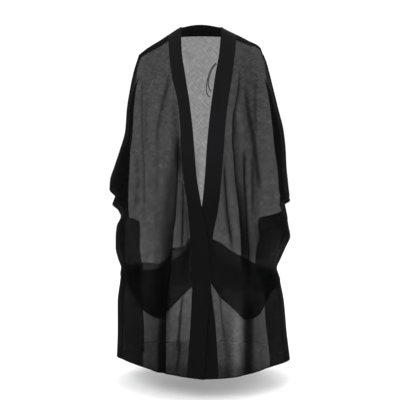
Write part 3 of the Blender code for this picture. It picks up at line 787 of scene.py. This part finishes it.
def crease_fields(found, out, drop):
    """How far creases slide the cloth sideways and raise it, and how much denser they look."""
    slide, rise, cover = (np.zeros(np.broadcast(out, drop).shape) for _ in range(3))
    for route, width_top, width_end, depth, lap, dense_top, dense_end, lean in found:
        start, stop = ends = route[0, [0, -1]]
        grown = between(drop, start, stop, min(CREASE_FADE, CREASE_FADE_SHARE * (stop - start)))
        width = np.interp(drop, ends, (width_top, width_end))
        across = (out - smooth_curve(*route, drop)) / width
        swing = across * np.exp(0.5 * (1 - across**2)) * grown * grown * lap * width
        slide -= swing
        rise += LAP_RISE * swing - depth * np.exp(-(across**2)) * grown
        scale = np.where(across * lean < 0, SHARP_SIDE, SOFT_SIDE) if lean else 1.0
        dense = np.interp(drop, ends, (dense_top, dense_end))
        cover += dense * np.exp(-((across * scale) ** 2)) * grown
    return slide, rise, cover


def crumple(side, zone, out, drop):
    """The crumpled cloth at the cuffs."""
    if zone == BACK:
        return 0.0
    middle, half, reach = CUFFS[side]
    near = np.exp(-(((drop - middle) / half) ** 2)) * smoothstep((out - reach) / CUFF_EDGE)
    return CUFF_RISE * near * layered_noise(47, CRUMPLES, out, drop)


def slit_shift(side, drop, away, gape, reach):
    """How far a panel's edge is drawn aside at the hand slit."""
    top, bottom = SLITS[side]
    share = np.clip((drop - top) / (bottom - top), 0.0, 1.0)
    return gape * np.sin(math.pi * share) * np.clip(1 - away / reach, 0, 1)


def tone_changes(side, zone, place, drop, out):
    """How much denser the cloth looks at the shoulder, the sleeves' rims and the hem; at the hem it is
    partly painted shade.
    """
    top, top_y = top_of(side, zone, place)
    yoke = np.interp(out_at(side, zone, place, top), YOKE_REACH, YOKES[side])
    more = YOKE_MORE * (1 - smoothstep((drop - top - yoke) / YOKE_EDGE)) * (top_y == 0)
    folded = at(PLEAT_MORE, side, drop)
    if zone == PLEAT:
        return more + folded
    if zone == BACK:
        rim = rear_fold_out(side, drop) - REAR_RIM
        return more + folded * smoothstep((out - rim) / RIM_EDGE)
    rim = at(RIMS, f"{side}_out", drop)
    rim_more = at(RIMS, f"{side}_more", drop) * past(out - rim, RIM_EDGE)
    pleated = PLEAT_HEM_MORE * past(out - PLEAT_HEM_OUT[side], RIM_EDGE)
    # Partly painted shade: the skirts are made denser below the lines where the layers behind them end.
    hem = 0.0
    for line, change in ((BACK, BEHIND_MORE_AND_PAINTED_SHADE[side]), ("rear", pleated), (PLEAT, pleated)):
        hem = hem + change * past(drop - at(HEM_LINES, f"{side}_{line}", out, "out"), HEM_LINE_EDGE)
    for mid_drop, mid_out, high, wide, change in zip(*PATCHES[side].values()):
        distance = ((drop - mid_drop) / high) ** 2 + ((out - mid_out) / wide) ** 2
        more = more + change * np.exp(-distance)
    return np.maximum(more, rim_more) + hem


def dressed(side, zone, place, drop):
    """The creased surface: its points, the smooth surface's normals, and the cover."""
    points, across, normals = surface(side, zone, place, drop)
    out = out_at(side, zone, place, drop)
    cover = np.ones(out.shape)
    if zone != PLEAT:
        found = CREASES[side if zone == FRONT else BACK + side]
        slide, rise, dense = crease_fields(found, out, drop)
        hold = smoothstep(place / CREASE_HOLD_SHARE) if zone == FRONT else 1.0
        hold = hold * smoothstep((drop - top_of(side, zone, place)[0]) / CREASE_HOLD_DROP)
        points = points + across * (slide * hold)[..., None] + normals * (rise * hold)[..., None]
        cover = cover + dense * hold
    cover = cover + tone_changes(side, zone, place, drop, out)
    calm = smoothstep((1 - place) / CALM_SHARE)
    if zone != BACK:
        calm = smoothstep(place / CALM_SHARE) * calm
    seed = 11 * (side == RIGHT) + 5 * (zone != FRONT)
    lift = layered_noise(seed, RIPPLES, SIGN[side] * out, drop) * calm + crumple(side, zone, out, drop)
    if zone != BACK:
        away = lengths(points, 1)
        if zone == FRONT:
            away = away[:, -1:] - away
            points[..., 1] -= slit_shift(side, drop, away, SLIT_FRONT_GAPE, SLIT_FRONT_REACH)
        else:
            points[..., 1] += slit_shift(side, drop, away, SLIT_BACK_GAPE, SLIT_BACK_REACH)
        cover = cover + SEAM_MORE * (1 - smoothstep((away - SEAM_ALLOWANCE) / SEAM_EDGE))
    return points + normals * lift[..., None], normals, cover


# --- Meshes -----------------------------------------------------------------------------------


def mesh_of(name, points, faces, material, uv=None, cover=None):
    """An object with these points and these faces, which all have the same number of corners."""
    mesh = bpy.data.meshes.new(name)
    corners = np.asarray(faces, np.int32)
    mesh.vertices.add(len(points))
    mesh.vertices.foreach_set("co", np.asarray(points, np.float32).ravel())
    mesh.loops.add(corners.size)
    mesh.loops.foreach_set("vertex_index", corners.ravel())
    mesh.polygons.add(len(corners))
    mesh.polygons.foreach_set("loop_start", np.arange(0, corners.size, corners.shape[1], dtype=np.int32))
    mesh.update(calc_edges=True)
    mesh.shade_smooth()
    if uv is not None:
        layer = mesh.uv_layers.new(name="cloth")
        layer.data.foreach_set("uv", np.asarray(uv, np.float32).reshape(-1, 2)[corners.ravel()].ravel())
    if cover is not None:
        layer = mesh.attributes.new("cover", "FLOAT", "POINT")
        layer.data.foreach_set("value", np.asarray(cover, np.float32).ravel())
    mesh.materials.append(MATERIALS[material])
    return added(name, mesh)


def added(name, data):
    """A new object with this data, in the scene."""
    made = bpy.data.objects.new(name, data)
    bpy.context.scene.collection.objects.link(made)
    return made


def grid_faces(rows, columns, wrapped=False):
    index = np.arange(rows * columns).reshape(rows, columns)
    if wrapped:
        index = np.concatenate([index, index[:, :1]], axis=1)
    corners = (index[:-1, :-1], index[1:, :-1], index[1:, 1:], index[:-1, 1:])
    return np.stack(corners, -1).reshape(-1, 4)


def grid_normals(points):
    return unit(np.cross(np.gradient(points, axis=1), np.gradient(points, axis=0)))


def settle(piece, slot, *nodes):
    """Say what a piece rides on and which nodes it replaces; its slot is not used."""
    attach(piece, "root")
    if nodes:
        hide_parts(*nodes)


# --- Panels -----------------------------------------------------------------------------------

# The spans whose places run against their panel's columns, which go from left to right as one
# faces its outside.
BACKWARD = {(LEFT, FRONT), (RIGHT, BACK), (LEFT, PLEAT)}


def even_places(side, zone, count):
    """Places of a zone that are evenly spaced along the cloth at mid height."""
    fine = np.linspace(0, 1, 4001)
    travelled = lengths(smooth_points(side, zone, fine, np.full(len(fine), EVEN_DROP)))
    return np.interp(np.linspace(0, travelled[-1], count), travelled, fine)


def turned_edge(edge, first, last):
    """Rows round a folded edge, between two offsets: (drop, offset)."""
    radius, middle = (first - last) / 2, (first + last) / 2
    turns = np.linspace(0, math.pi, TURN_ROWS + 2)[1:-1]
    low = edge - abs(radius)
    return [(low + abs(radius) * math.sin(t), middle + radius * math.cos(t)) for t in turns]


def upper_path(top, stitch, fold, strip, step, under):
    """The path of a panel's upper cloth, round the tuck's fold and up past the stitch line.

    Each row is (drop, offset, share of the cover)."""
    lift = OVER_TUCK_OFFSET - UPPER_OFFSET
    drops = rolled_drops(top, stitch, step)
    path = [(d, UPPER_OFFSET + lift * smoothstep(1 - (stitch - d) / TUCK_RISE), 1.0) for d in drops]
    edge = turned_edge(fold, OVER_TUCK_OFFSET, UPPER_OFFSET)
    path += [(d, OVER_TUCK_OFFSET, 1.0) for d in steps(stitch, edge[0][0], step)[:-1]]
    path += [(d, offset, FOLD_SHARE) for d, offset in edge]
    path += [(d, UPPER_OFFSET, under) for d in steps(edge[-1][0], stitch, step)]
    lift = STRIP_OFFSET - UPPER_OFFSET
    for d in steps(stitch, stitch - strip, step):
        path.append((d, UPPER_OFFSET + lift * smoothstep((stitch - d) / STRIP_RISE), STRIP_SHARE))
    return path


def lower_path(stitch, fold, hem, step, under, hem_share):
    """The path of a panel's lower cloth, from the stitch line down and round its hem."""
    inner = LOWER_OFFSET - 2 * HEM_RADIUS
    edge = turned_edge(hem, LOWER_OFFSET, inner)
    start = stitch - LOWER_START
    path = []
    for d in [start] + steps(start, edge[0][0], step)[:-1]:
        path.append((d, LOWER_OFFSET, under + (1 - under) * past(d - fold, UNDER_EDGE)))
    path += [(d, offset, hem_share) for d, offset in edge]
    return path + [(d, inner, hem_share) for d in steps(edge[-1][0], hem - HEM_HEIGHT, step / 2)]


def cloth_piece(name, points, normals, cover, nodes):
    """An open sheet of the sheer cloth, with its UV in metres from the column nearest the middle."""
    slope = np.abs(np.sum(grid_normals(points) * normals, axis=-1))
    straight = np.argmin(np.abs(points[0, :, 0]))
    across = lengths(points, 1)
    uv = np.stack([across - across[:, straight, None], -lengths(points)], -1)
    faces = grid_faces(*points.shape[:2])
    piece = mesh_of(name, points.reshape(-1, 3), faces, "sheer_cloth", uv, cover / np.clip(slope, 0.6, 1.0))
    settle(piece, "sheer_cloth", *nodes)


def panel(node, zone, step, spans):
    """A panel's two sheets, its cloth and its skirt, across spans of (side, zone, places)."""
    top = np.concatenate([top_of(*span)[0] for span in spans])
    stitch, fold = np.concatenate([tuck_at(*span) for span in spans], axis=1)
    strip, hem = (np.concatenate([line(*span) for span in spans]) for line in (strip_at, hem_at))
    under = UNDER_TUCK[zone]
    for name, nodes, path in (
        ("cloth", ("upper", "tuck"), upper_path(top, stitch, fold, strip, step, under)),
        ("skirt", ("lower",), lower_path(stitch, fold, hem, step, under, HEM_SHARES[zone])),
    ):
        drop, offset, share = ([np.broadcast_to(v, top.shape) for v in row] for row in zip(*path))
        drop, offset, share = np.array(drop), np.array(offset), np.array(share)
        grids, start = [], 0
        for span in spans:
            cut = slice(start, start + len(span[2]))
            start = cut.stop
            points, normals, cover = dressed(*span, drop[:, cut])
            grid = [points + normals * offset[:, cut, None], normals, cover * share[:, cut]]
            if span[:2] in BACKWARD:
                grid = [part[:, ::-1] for part in grid]
            grids.append([part[:, 1:] for part in grid] if grids else grid)
        joined = [np.concatenate(parts, axis=1) for parts in zip(*grids)]
        cloth_piece(f"{name}_{node}", *joined, [f"{node}_{part}" for part in nodes])


def front_panel(side):
    panel(f"front_{side}", FRONT, FRONT_STEP, [(side, FRONT, even_places(side, FRONT, FRONT_COLUMNS))])


def back_panel():
    """The back with the pleats behind the arms, from right to left."""
    pleats = [(side, PLEAT, even_places(side, PLEAT, PLEAT_COLUMNS)) for side in (RIGHT, LEFT)]
    halves = [(side, BACK, even_places(side, BACK, BACK_COLUMNS)) for side in (RIGHT, LEFT)]
    panel(BACK, BACK, BACK_STEP, [pleats[0], *halves, pleats[1]])


# --- Bands ------------------------------------------------------------------------------------


def strap_loop(points, normals, faces):
    """A closed shell on a grid whose first axis runs across it, with rounded long edges.

    Returns the points as (along, round the section, 3), with the section's points in pairs."""
    low, high = faces
    radius, middle = (high - low) / 2, (high + low) / 2
    first, last = unit(points[1] - points[0]), unit(points[-2] - points[-1])
    points = points.copy()
    points[0] += first * radius
    points[-1] += last * radius
    edge = []
    for point, normal, inward in ((points[-1], normals[-1], last), (points[0], normals[0], first)):
        for t in np.linspace(0, math.pi, 8)[1:-1]:
            edge.append(point - inward * radius * math.sin(t) + normal * (middle + radius * math.cos(t)))
    loop = edge[:5:-1][3:]
    loop += [p + n * high for p, n in zip(points, normals)]
    loop += edge[:6]
    loop += [p + n * low for p, n in zip(points[::-1], normals[::-1])]
    loop += edge[:5:-1][:3]
    return np.array(loop).transpose(1, 0, 2)


def strap(name, points, normals, faces, material):
    """A band of cloth as a closed shell. The grid's first axis runs across it."""
    loop = strap_loop(points, normals, faces)
    along, around = loop.shape[:2]
    i = np.arange(around // 2 - 1)
    cap = np.stack([i, i + 1, around - 2 - i, around - 1 - i], -1)
    corners = [grid_faces(along, around, wrapped=True), cap, (cap + (along - 1) * around)[:, ::-1]]
    closed = np.concatenate([loop, loop[:, :1]], axis=1)
    uv = np.stack([lengths(closed, 1)[:, :-1], lengths(loop)], -1)
    return mesh_of(name, loop.reshape(-1, 3), np.concatenate(corners), material, uv)


def band_grid(side):
    """A front band's surface and its normals; the first axis runs across it."""
    place = np.linspace(0, 1, BAND_COLUMNS)
    top, _ = top_of(side, BAND, place)
    drop = np.array(rolled_drops(top, LENGTH - HEM_TRIMS[side][0] * place, FRONT_STEP))
    points, _, normals = surface(side, BAND, place, drop)
    wave = BAND_RIPPLE * noise(31, place * 2.3 + 5, drop / 0.055 + 3 + 7 * (side == RIGHT))
    points = points + normals * wave[..., None]
    return points.transpose(1, 0, 2), normals.transpose(1, 0, 2)


def nape_grid():
    """The neck band's surface and normals, from its inner edge out and from left to right."""
    halves = []
    across = np.linspace(0, 1 + NECK_BAND_OVER, NECK_COLUMNS)
    for side in (LEFT, RIGHT):
        turn = np.linspace(QUARTER, 0, NECK_ROWS)
        place = nape_half(side) / rear_fold_out(side, 0.0) * np.sin(turn)
        top, top_y = top_of(side, BACK, place)
        outer = np.stack([SIGN[side] * out_at(side, BACK, place, top), top_y, -top], -1)
        inner_x = SIGN[side] * BANDS[f"{side}_inner"][0] * np.sin(turn)
        reach, rise = NAPE_INNER_REACH * np.cos(turn), NAPE_INNER_RISE * np.cos(turn) ** 2
        inner = np.stack([inner_x, reach, rise], -1)
        grid = inner[None] + (outer - inner)[None] * across[:, None, None]
        start = smooth_points(side, BAND, across, top_of(side, BAND, across)[0])
        blend = (1 - smoothstep(np.arange(NECK_ROWS) / NECK_BLEND_ROWS))[None, :, None]
        grid = grid * (1 - blend) + (start[:, None] + grid - grid[:, :1]) * blend
        halves.append(grid if side == LEFT else grid[:, -2::-1])
    grid = np.concatenate(halves, axis=1)
    normals = grid_normals(grid)
    return grid, normals * np.sign(normals[-1, normals.shape[1] // 2, 2])


def bands():
    """The two front bands and the neck band."""
    for name, node, grid in (
        ("front_band_left", "band_left", band_grid(LEFT)),
        ("front_band_right", "band_right", band_grid(RIGHT)),
        ("neck_band", "band_neck", nape_grid()),
    ):
        settle(strap(name, *grid, BAND_FACES, "band_cloth"), "band_cloth", node)


# --- Trim -------------------------------------------------------------------------------------


def read_along(points, distances):
    """Points at these distances down a grid, one row for each distance."""
    columns = zip(points.transpose(1, 0, 2), lengths(points).T)
    return np.stack([read_off(column, travelled, distances) for column, travelled in columns], 1)


def below_ridge(side, zone, place, distances):
    """Points at these distances down the cloth from the shoulder line."""
    top, _ = top_of(side, zone, place)
    fall = SHOULDER_RISE * (1 - np.cos(np.linspace(0, 0.9, 120)))[:, None]
    return read_along(smooth_points(side, zone, place, top + fall), distances)


def beside_edge(side, zone, drop, distances):
    """Points at these distances from the side edge into a zone."""
    share = np.linspace(0, 0.12, 120) ** 2
    place = 1 - share if zone == FRONT else share * 8
    return read_along(smooth_points(side, zone, place, drop[:, None]).transpose(1, 0, 2), distances)


def seam_tape(side):
    """The tape over the shoulder seam, from the neck band out and down to the hand slit."""
    reach = np.linspace(0, SEAM_TAPE_WIDTH / 2, 5)
    front = below_ridge(side, FRONT, even_places(side, FRONT, 90)[:-1], reach)
    rear = []
    for zone, places in ((BACK, np.linspace(0.4, 1, 90)), (PLEAT, np.linspace(1, 0.02, 40))):
        _, top_y = top_of(side, zone, places)
        rear.append(below_ridge(side, zone, places[top_y == 0], reach))
    rear = np.concatenate(rear, axis=1)
    rear = rear[:, np.argsort(np.abs(rear[0, :, 0]))]
    rear_out, front_out = np.abs(rear[0, :, 0]), np.abs(front[0, :, 0])
    ridge = [*front[::-1], *(read_off(row, rear_out, front_out) for row in rear[1:])]
    drop = np.arange(RIDGE["drop"][-1] + TAPE_START, SLITS[side][0] - TAPE_END, TAPE_STEP)
    edge = [*beside_edge(side, FRONT, drop, reach)[::-1], *beside_edge(side, PLEAT, drop, reach)[1:]]
    grid = np.concatenate([ridge, edge], axis=1)
    normals = grid_normals(grid)
    normals = normals * np.sign(normals[len(reach), -10, 0] * SIGN[side])
    piece = strap(f"shoulder_tape_{side}", grid, normals, SEAM_TAPE_FACES, "trim_cord")
    settle(piece, "trim_cord", f"seam_tape_{side}")


def side_edge(side, drop, gape):
    """The edge of a panel at the side seam, drawn aside along the hand slit."""
    shift = slit_shift(side, drop, 0.0, gape, 1.0)
    return np.stack([SIGN[side] * at(SIDE, side, drop), at(DEPTH, "side_y", drop) + shift, -drop], -1)


def spokes(first, second, sides):
    """Unit vectors round each point of a line, from two that lie across it."""
    turns = np.linspace(0, 2 * math.pi, sides, endpoint=False)[None, :, None]
    return first[:, None] * np.cos(turns) + second[:, None] * np.sin(turns)


def tube(name, path, radius, sides, material):
    """A closed ring of round section along a closed path, with its radius at each point."""
    ahead = unit(np.roll(path, -1, axis=0) - np.roll(path, 1, axis=0))
    outward = unit(path - path.mean(axis=0))
    outward = unit(outward - ahead * np.sum(outward * ahead, axis=1, keepdims=True))
    points = path[:, None] + radius[:, None, None] * spokes(outward, np.cross(ahead, outward), sides)
    closed = np.concatenate([points, points[:1]])
    faces = grid_faces(len(path) + 1, sides, wrapped=True) % (len(path) * sides)
    uv = np.stack([lengths(closed, 1)[:-1], lengths(closed)[:-1]], -1)
    return mesh_of(name, points.reshape(-1, 3), faces, material, uv)


def slit_binding(side):
    """The thread binding sewn over the edges of a hand slit."""
    drops = np.linspace(*SLITS[side], 400)
    front, back = side_edge(side, drops, -SLIT_FRONT_GAPE), side_edge(side, drops, SLIT_BACK_GAPE)
    bound = back[:, 1] - front[:, 1] > LEAST_BOUND_GAPE
    clear = np.array([0.0, BINDING_RADIUS + BINDING_CLEAR, 0.0])
    inward = np.array([SIGN[side] * UPPER_OFFSET, 0.0, 0.0])
    path = np.concatenate([front[bound] + inward + clear, (back[bound] + inward - clear)[::-1]])
    looped = np.concatenate([path, path[:1]])
    travelled = lengths(looped)
    stops = np.linspace(0, travelled[-1], 420, endpoint=False)
    wraps = np.abs(np.sin(stops / BINDING_WRAP * math.pi))
    radius = BINDING_RADIUS * (BINDING_SWELL[0] + BINDING_SWELL[1] * wraps)
    piece = tube(f"slit_edge_{side}", read_off(looped, travelled, stops), radius, 10, "trim_cord")
    settle(piece, "trim_cord", f"slit_binding_{side}")


def stitch_row(points, normals):
    """Threads laid end to end along a line on the cloth: their points and faces."""
    travelled = lengths(points)
    starts = np.arange(STITCH_PITCH, travelled[-1] - STITCH_PITCH, STITCH_PITCH)
    rings, sides = np.array([0.0, 0.12, 0.5, 0.88, 1.0]), 5
    girth = np.array([0.25, 0.9, 1.0, 0.9, 0.25]) * THREAD_RADIUS
    arch = np.array([-0.6, 0.2, 0.55, 0.2, -0.6]) * THREAD_RADIUS
    where = (starts[:, None] + rings * STITCH_PITCH * STITCH_SHARE).ravel()
    centre = read_off(points, travelled, where)
    normal = unit(read_off(normals, travelled, where))
    sideways = unit(np.cross(normal, unit(np.gradient(centre, axis=0))))
    centre = centre + normal * np.tile(arch, len(starts))[:, None]
    made = centre[:, None] + spokes(sideways, normal, sides) * np.tile(girth, len(starts))[:, None, None]
    one = grid_faces(len(rings), sides, wrapped=True)
    faces = one[None] + len(rings) * sides * np.arange(len(starts))[:, None, None]
    return made.reshape(-1, 3), faces.reshape(-1, 4)


def stitching(name, lines):
    """One piece of many stitches, along each line of (points, normals)."""
    points, faces, start = [], [], 0
    for line in lines:
        more, corners = stitch_row(*line)
        points.append(more)
        faces.append(corners + start)
        start += len(more)
    settle(mesh_of(name, np.concatenate(points), np.concatenate(faces), "thread"), "trim_cord")


def stitch_lines(side, zone, count):
    """The lines of stitches along the tuck and the hem of a zone."""
    place = even_places(side, zone, count)
    stitch, _ = tuck_at(side, zone, place)
    hem = hem_at(side, zone, place) - HEM_HEIGHT + HEM_STITCH
    lines = []
    for drop, offset in ((stitch, OVER_TUCK_OFFSET), (hem, LOWER_OFFSET)):
        points, normals, _ = dressed(side, zone, place, drop[None])
        lines.append((points[0] + normals[0] * offset, normals[0]))
    return lines


def edge_lines(points, normals):
    """The lines of stitches beside the long edges of a band."""
    return [(points[i] + normals[i] * BAND_FACES[1], normals[i]) for i in (1, -2)]


def all_stitching():
    for side in (LEFT, RIGHT):
        lines = edge_lines(*band_grid(side)) + stitch_lines(side, FRONT, 240)
        stitching(f"stitching_front_{side}", lines)
    zones = ((LEFT, PLEAT), (LEFT, BACK), (RIGHT, PLEAT), (RIGHT, BACK))
    lines = [line for side, zone in zones for line in stitch_lines(side, zone, 160)]
    stitching("stitching_back", lines + edge_lines(*nape_grid()))


def declare_sheet(sewn_on=()):
    sewn_on = [bpy.data.objects[sewn] for sewn in sewn_on]


def declare_sheets():
    declare_sheet(["stitching_back"])
    declare_sheet()
    for side in (LEFT, RIGHT):
        sewn_on = [f"shoulder_tape_{side}", f"slit_edge_{side}", f"stitching_front_{side}"]
        declare_sheet(sewn_on)
    for side in (LEFT, RIGHT):
        declare_sheet()
    for side in (LEFT, RIGHT):
        declare_sheet()
    declare_sheet()


# --- Cords ------------------------------------------------------------------------------------


def smooth_route(points, step):
    """A smooth curve through the points (Catmull-Rom), read off at an even step."""
    points = np.array(points)
    padded = np.vstack([2 * points[0] - points[1], points, 2 * points[-1] - points[-2]])
    dense = []
    for a, b, c, d in zip(padded, padded[1:], padded[2:], padded[3:]):
        for t in np.linspace(0, 1, 16, endpoint=False):
            cubic = (2 * b) + (c - a) * t + (2 * a - 5 * b + 4 * c - d) * t**2
            dense.append(0.5 * (cubic + (3 * b - 3 * c + d - a) * t**3))
    dense = np.array(dense + [points[-1]])
    travelled = lengths(dense)
    stops = np.linspace(0, travelled[-1], max(2, round(travelled[-1] / step)) + 1)
    return read_off(dense, travelled, stops), travelled[-1]


def tie_cord(name, route):
    points, length = smooth_route(route, 0.003)
    curve = bpy.data.curves.new(f"tie_cord_{name}", "CURVE")
    curve.dimensions = "3D"
    curve.bevel_depth = CORD_DIAMETER / 2
    curve.bevel_resolution = 4
    curve.use_fill_caps = True
    spline = curve.splines.new("POLY")
    spline.points.add(len(points) - 1)
    spline.points.foreach_set("co", np.column_stack([points, np.ones(len(points))]).ravel())
    spline.use_smooth = True
    curve.materials.append(MATERIALS["tie_cord"])
    piece = added(f"tie_cord_{name}", curve)
    settle(piece, "trim_cord", f"cord_{name}")


# --- Materials --------------------------------------------------------------------------------


class Nodes:
    """A material's node tree, with short ways to add to it."""

    def __init__(self, name, colour, roughness, specular, sheen=0.0):
        self.material = bpy.data.materials.new(name)
        self.material.use_nodes = True
        self.tree = self.material.node_tree
        self.shader = self.tree.nodes["Principled BSDF"]
        self.shader.inputs["Base Color"].default_value = (*colour, 1.0)
        self.shader.inputs["Roughness"].default_value = roughness
        self.shader.inputs["Specular IOR Level"].default_value = specular
        self.shader.inputs["Sheen Weight"].default_value = sheen

    def add(self, kind, inputs=(), **settings):
        """A node; each input is a value or the output of another node."""
        node = self.tree.nodes.new(kind)
        for key, value in settings.items():
            setattr(node, key, value)
        for key, value in dict(inputs).items():
            if isinstance(value, bpy.types.NodeSocket):
                self.tree.links.new(value, node.inputs[key])
            else:
                node.inputs[key].default_value = value
        return node.outputs

    def math(self, operation, *values):
        return self.add("ShaderNodeMath", enumerate(values), operation=operation)[0]

    def vary(self, change, share, tone):
        """A tone that changes by this share where the change goes from 0 to 1."""
        return self.math("MULTIPLY_ADD", change, share, tone)

    def place(self, turn=0.0, stretch=1.0, source="UV"):
        """Where a point is, turned about Z; what lies on it is stretched along the turned Y."""
        if source == "UV":
            where = self.add("ShaderNodeUVMap", uv_map="cloth")[0]
        else:
            where = self.add("ShaderNodeTexCoord")[source]
        inputs = {"Vector": where, "Rotation": (0.0, 0.0, turn), "Scale": (1.0, stretch, 1.0)}
        return self.add("ShaderNodeMapping", inputs, vector_type="TEXTURE")[0]

    def noise(self, where, scale, detail=2.0):
        inputs = {"Vector": where, "Scale": scale, "Detail": detail, "Roughness": 0.5}
        return self.add("ShaderNodeTexNoise", inputs)["Fac"]

    def wave(self, where, scale, distortion=0.4):
        inputs = {"Vector": where, "Scale": scale, "Distortion": distortion, "Detail": 1.0}
        return self.add("ShaderNodeTexWave", inputs)["Fac"]

    def link(self, output, name):
        self.tree.links.new(output, self.shader.inputs[name])

    def colours(self, factor, *ends):
        """The base colour, between two colours."""
        tone = self.add("ShaderNodeValToRGB", {"Fac": factor})[0]
        for element, colour in zip(tone.node.color_ramp.elements, ends):
            element.color = (*colour, 1.0)
        self.link(tone, "Base Color")

    def bump(self, height, distance, strength):
        inputs = {"Height": height, "Distance": distance, "Strength": strength}
        self.link(self.add("ShaderNodeBump", inputs)[0], "Normal")


def shaded(colour, share):
    return [share * part for part in colour]


def weave(nodes, thread):
    """The height of a plain weave whose threads are this wide, in metres."""
    scale = 1.0 / (2.0 * thread) / 3.18  # a wave texture has about 3.18 bands to a unit
    warp, weft = (nodes.wave(nodes.place(turn), scale) for turn in (0.0, QUARTER))
    return nodes.math("MULTIPLY", nodes.math("ADD", warp, weft), 0.5)


def sheer_material():
    """Sheer voile: each layer lets some light through, less where it is dense or folded."""
    nodes = Nodes("sheer_cloth", SHEER, roughness=0.85, specular=0.008, sheen=0.01)
    cover = nodes.add("ShaderNodeAttribute", attribute_name="cover")["Fac"]
    slubs = [nodes.noise(nodes.place(turn, 9.0), scale, 1.0) for turn, scale in SLUB_LINES]
    threads = weave(nodes, VOILE_THREAD)
    uneven = nodes.vary(nodes.math("ADD", *slubs), SLUBS, 1.0 - SLUBS)
    cloud = nodes.noise(nodes.place(), 26.0, 3.0)
    for change, share in ((cloud, CLOUD), (threads, THREADS)):
        uneven = nodes.vary(change, share, nodes.math("SUBTRACT", uneven, share / 2))
    change = nodes.math("SUBTRACT", uneven, 1.0)
    layers = nodes.vary(change, nodes.math("MINIMUM", cover, MOST_UNEVEN), cover)
    nodes.link(nodes.math("SUBTRACT", 1.0, nodes.math("POWER", PASSED, layers)), "Alpha")
    nodes.bump(threads, 0.0002, 0.5)
    nodes.shader.inputs["Sheen Roughness"].default_value = 0.5
    return nodes.material


def band_material():
    """The bands' closer, doubled cloth, with painted shade that darkens their lower ends."""
    nodes = Nodes("band_cloth", BAND_BLACK, roughness=0.75, specular=0.03, sheen=0.01)
    pucker, cloud = (nodes.noise(nodes.place(0.0, 3.0), scale, 3.0) for scale in (160.0, 30.0))
    # Painted shade: the base colour darkens with height, towards the bands' lower ends.
    height = nodes.add("ShaderNodeSeparateXYZ", {"Vector": nodes.place(source="Object")})["Z"]
    fade = {"Value": height, "From Min": BAND_PAINTED_SHADE_HEIGHTS[0], "From Max": BAND_PAINTED_SHADE_HEIGHTS[1]}
    painted_light = nodes.vary(nodes.add("ShaderNodeMapRange", fade)["Result"], 0.8, -0.1)
    nodes.colours(nodes.vary(cloud, 0.4, painted_light), shaded(BAND_BLACK, BAND_LOW_PAINTED_SHADE), BAND_BLACK)
    nodes.bump(nodes.vary(pucker, 2.5, weave(nodes, BAND_THREAD)), 0.0003, 0.6)
    return nodes.material


def trim_material(name, source, scale):
    """Twisted thread: ridges across it, and a slight change of tone along it."""
    nodes = Nodes(name, TRIM_BLACK, roughness=0.62, specular=0.08)
    twist = nodes.wave(nodes.place(0.7, source=source), scale, 1.0)
    fuzz = nodes.noise(nodes.place(source=source), 900.0)
    nodes.colours(fuzz, *(shaded(TRIM_BLACK, share) for share in TRIM_TONES))
    nodes.bump(nodes.vary(fuzz, 0.4, twist), 0.0003, 0.7)
    return nodes.material


def floor_material():
    nodes = Nodes("pale_floor", (0.93, 0.93, 0.93), roughness=0.9, specular=0.1)
    grain = nodes.noise(nodes.place(source="Object"), 3.0, 4.0)
    nodes.colours(grain, (0.955, 0.955, 0.955), (0.975, 0.975, 0.975))
    return nodes.material


# --- The stage --------------------------------------------------------------------------------


def make_camera():
    lens = bpy.data.cameras.new("camera")
    lens.lens, lens.sensor_width = CAMERA_LENS, SENSOR
    camera = added("camera", lens)
    camera.location = CAMERA_PLACE
    camera.rotation_euler = (QUARTER - CAMERA_PITCH, 0.0, 0.0)
    bpy.context.scene.camera = camera


def make_light(name, place, size, power):
    light = bpy.data.lights.new(name, "AREA")
    light.size, light.energy = size, power
    lamp = added(name, light)
    lamp.location = place
    aim = -lamp.location.copy()
    aim.z -= LIGHT_AIM_DROP
    lamp.rotation_mode = "QUATERNION"
    lamp.rotation_quaternion = aim.to_track_quat("-Z", "Y")


def make_stage():
    turns = np.linspace(0, 2 * math.pi, 96, endpoint=False)
    rim = np.stack([FLOOR_RADIUS * np.cos(turns), FLOOR_RADIUS * np.sin(turns), 0 * turns], -1)
    mesh_of("floor", rim - (0, 0, FLOOR_DROP), [np.arange(96)], "pale_floor")
    world = bpy.data.worlds.new("studio")
    world.use_nodes = True
    world.node_tree.nodes["Background"].inputs["Color"].default_value = (1.0, 1.0, 1.0, 1.0)
    world.node_tree.nodes["Background"].inputs["Strength"].default_value = 1.06
    bpy.context.scene.world = world
    make_light("key", (-1.9, -2.6, 1.5), 1.8, 70.0)
    make_light("fill", (2.3, -2.2, 0.6), 2.4, 35.0)
    make_light("back", (0.6, 2.6, 1.6), 2.0, 40.0)
    bpy.context.scene.view_settings.view_transform = "Standard"


# --- Everything -------------------------------------------------------------------------------

MATERIALS = {
    "sheer_cloth": sheer_material(),
    "band_cloth": band_material(),
    "trim_cord": trim_material("trim_cord", "UV", 260.0),
    "tie_cord": trim_material("tie_cord", "Object", 260.0),
    "thread": trim_material("thread", "Object", 900.0),
    "pale_floor": floor_material(),
}

make_camera()
for strand, cord_route in CORD_ROUTES.items():
    tie_cord(strand, cord_route)
make_stage()
for half in (LEFT, RIGHT):
    front_panel(half)
    seam_tape(half)
    slit_binding(half)
back_panel()
bands()
all_stitching()
declare_sheets()
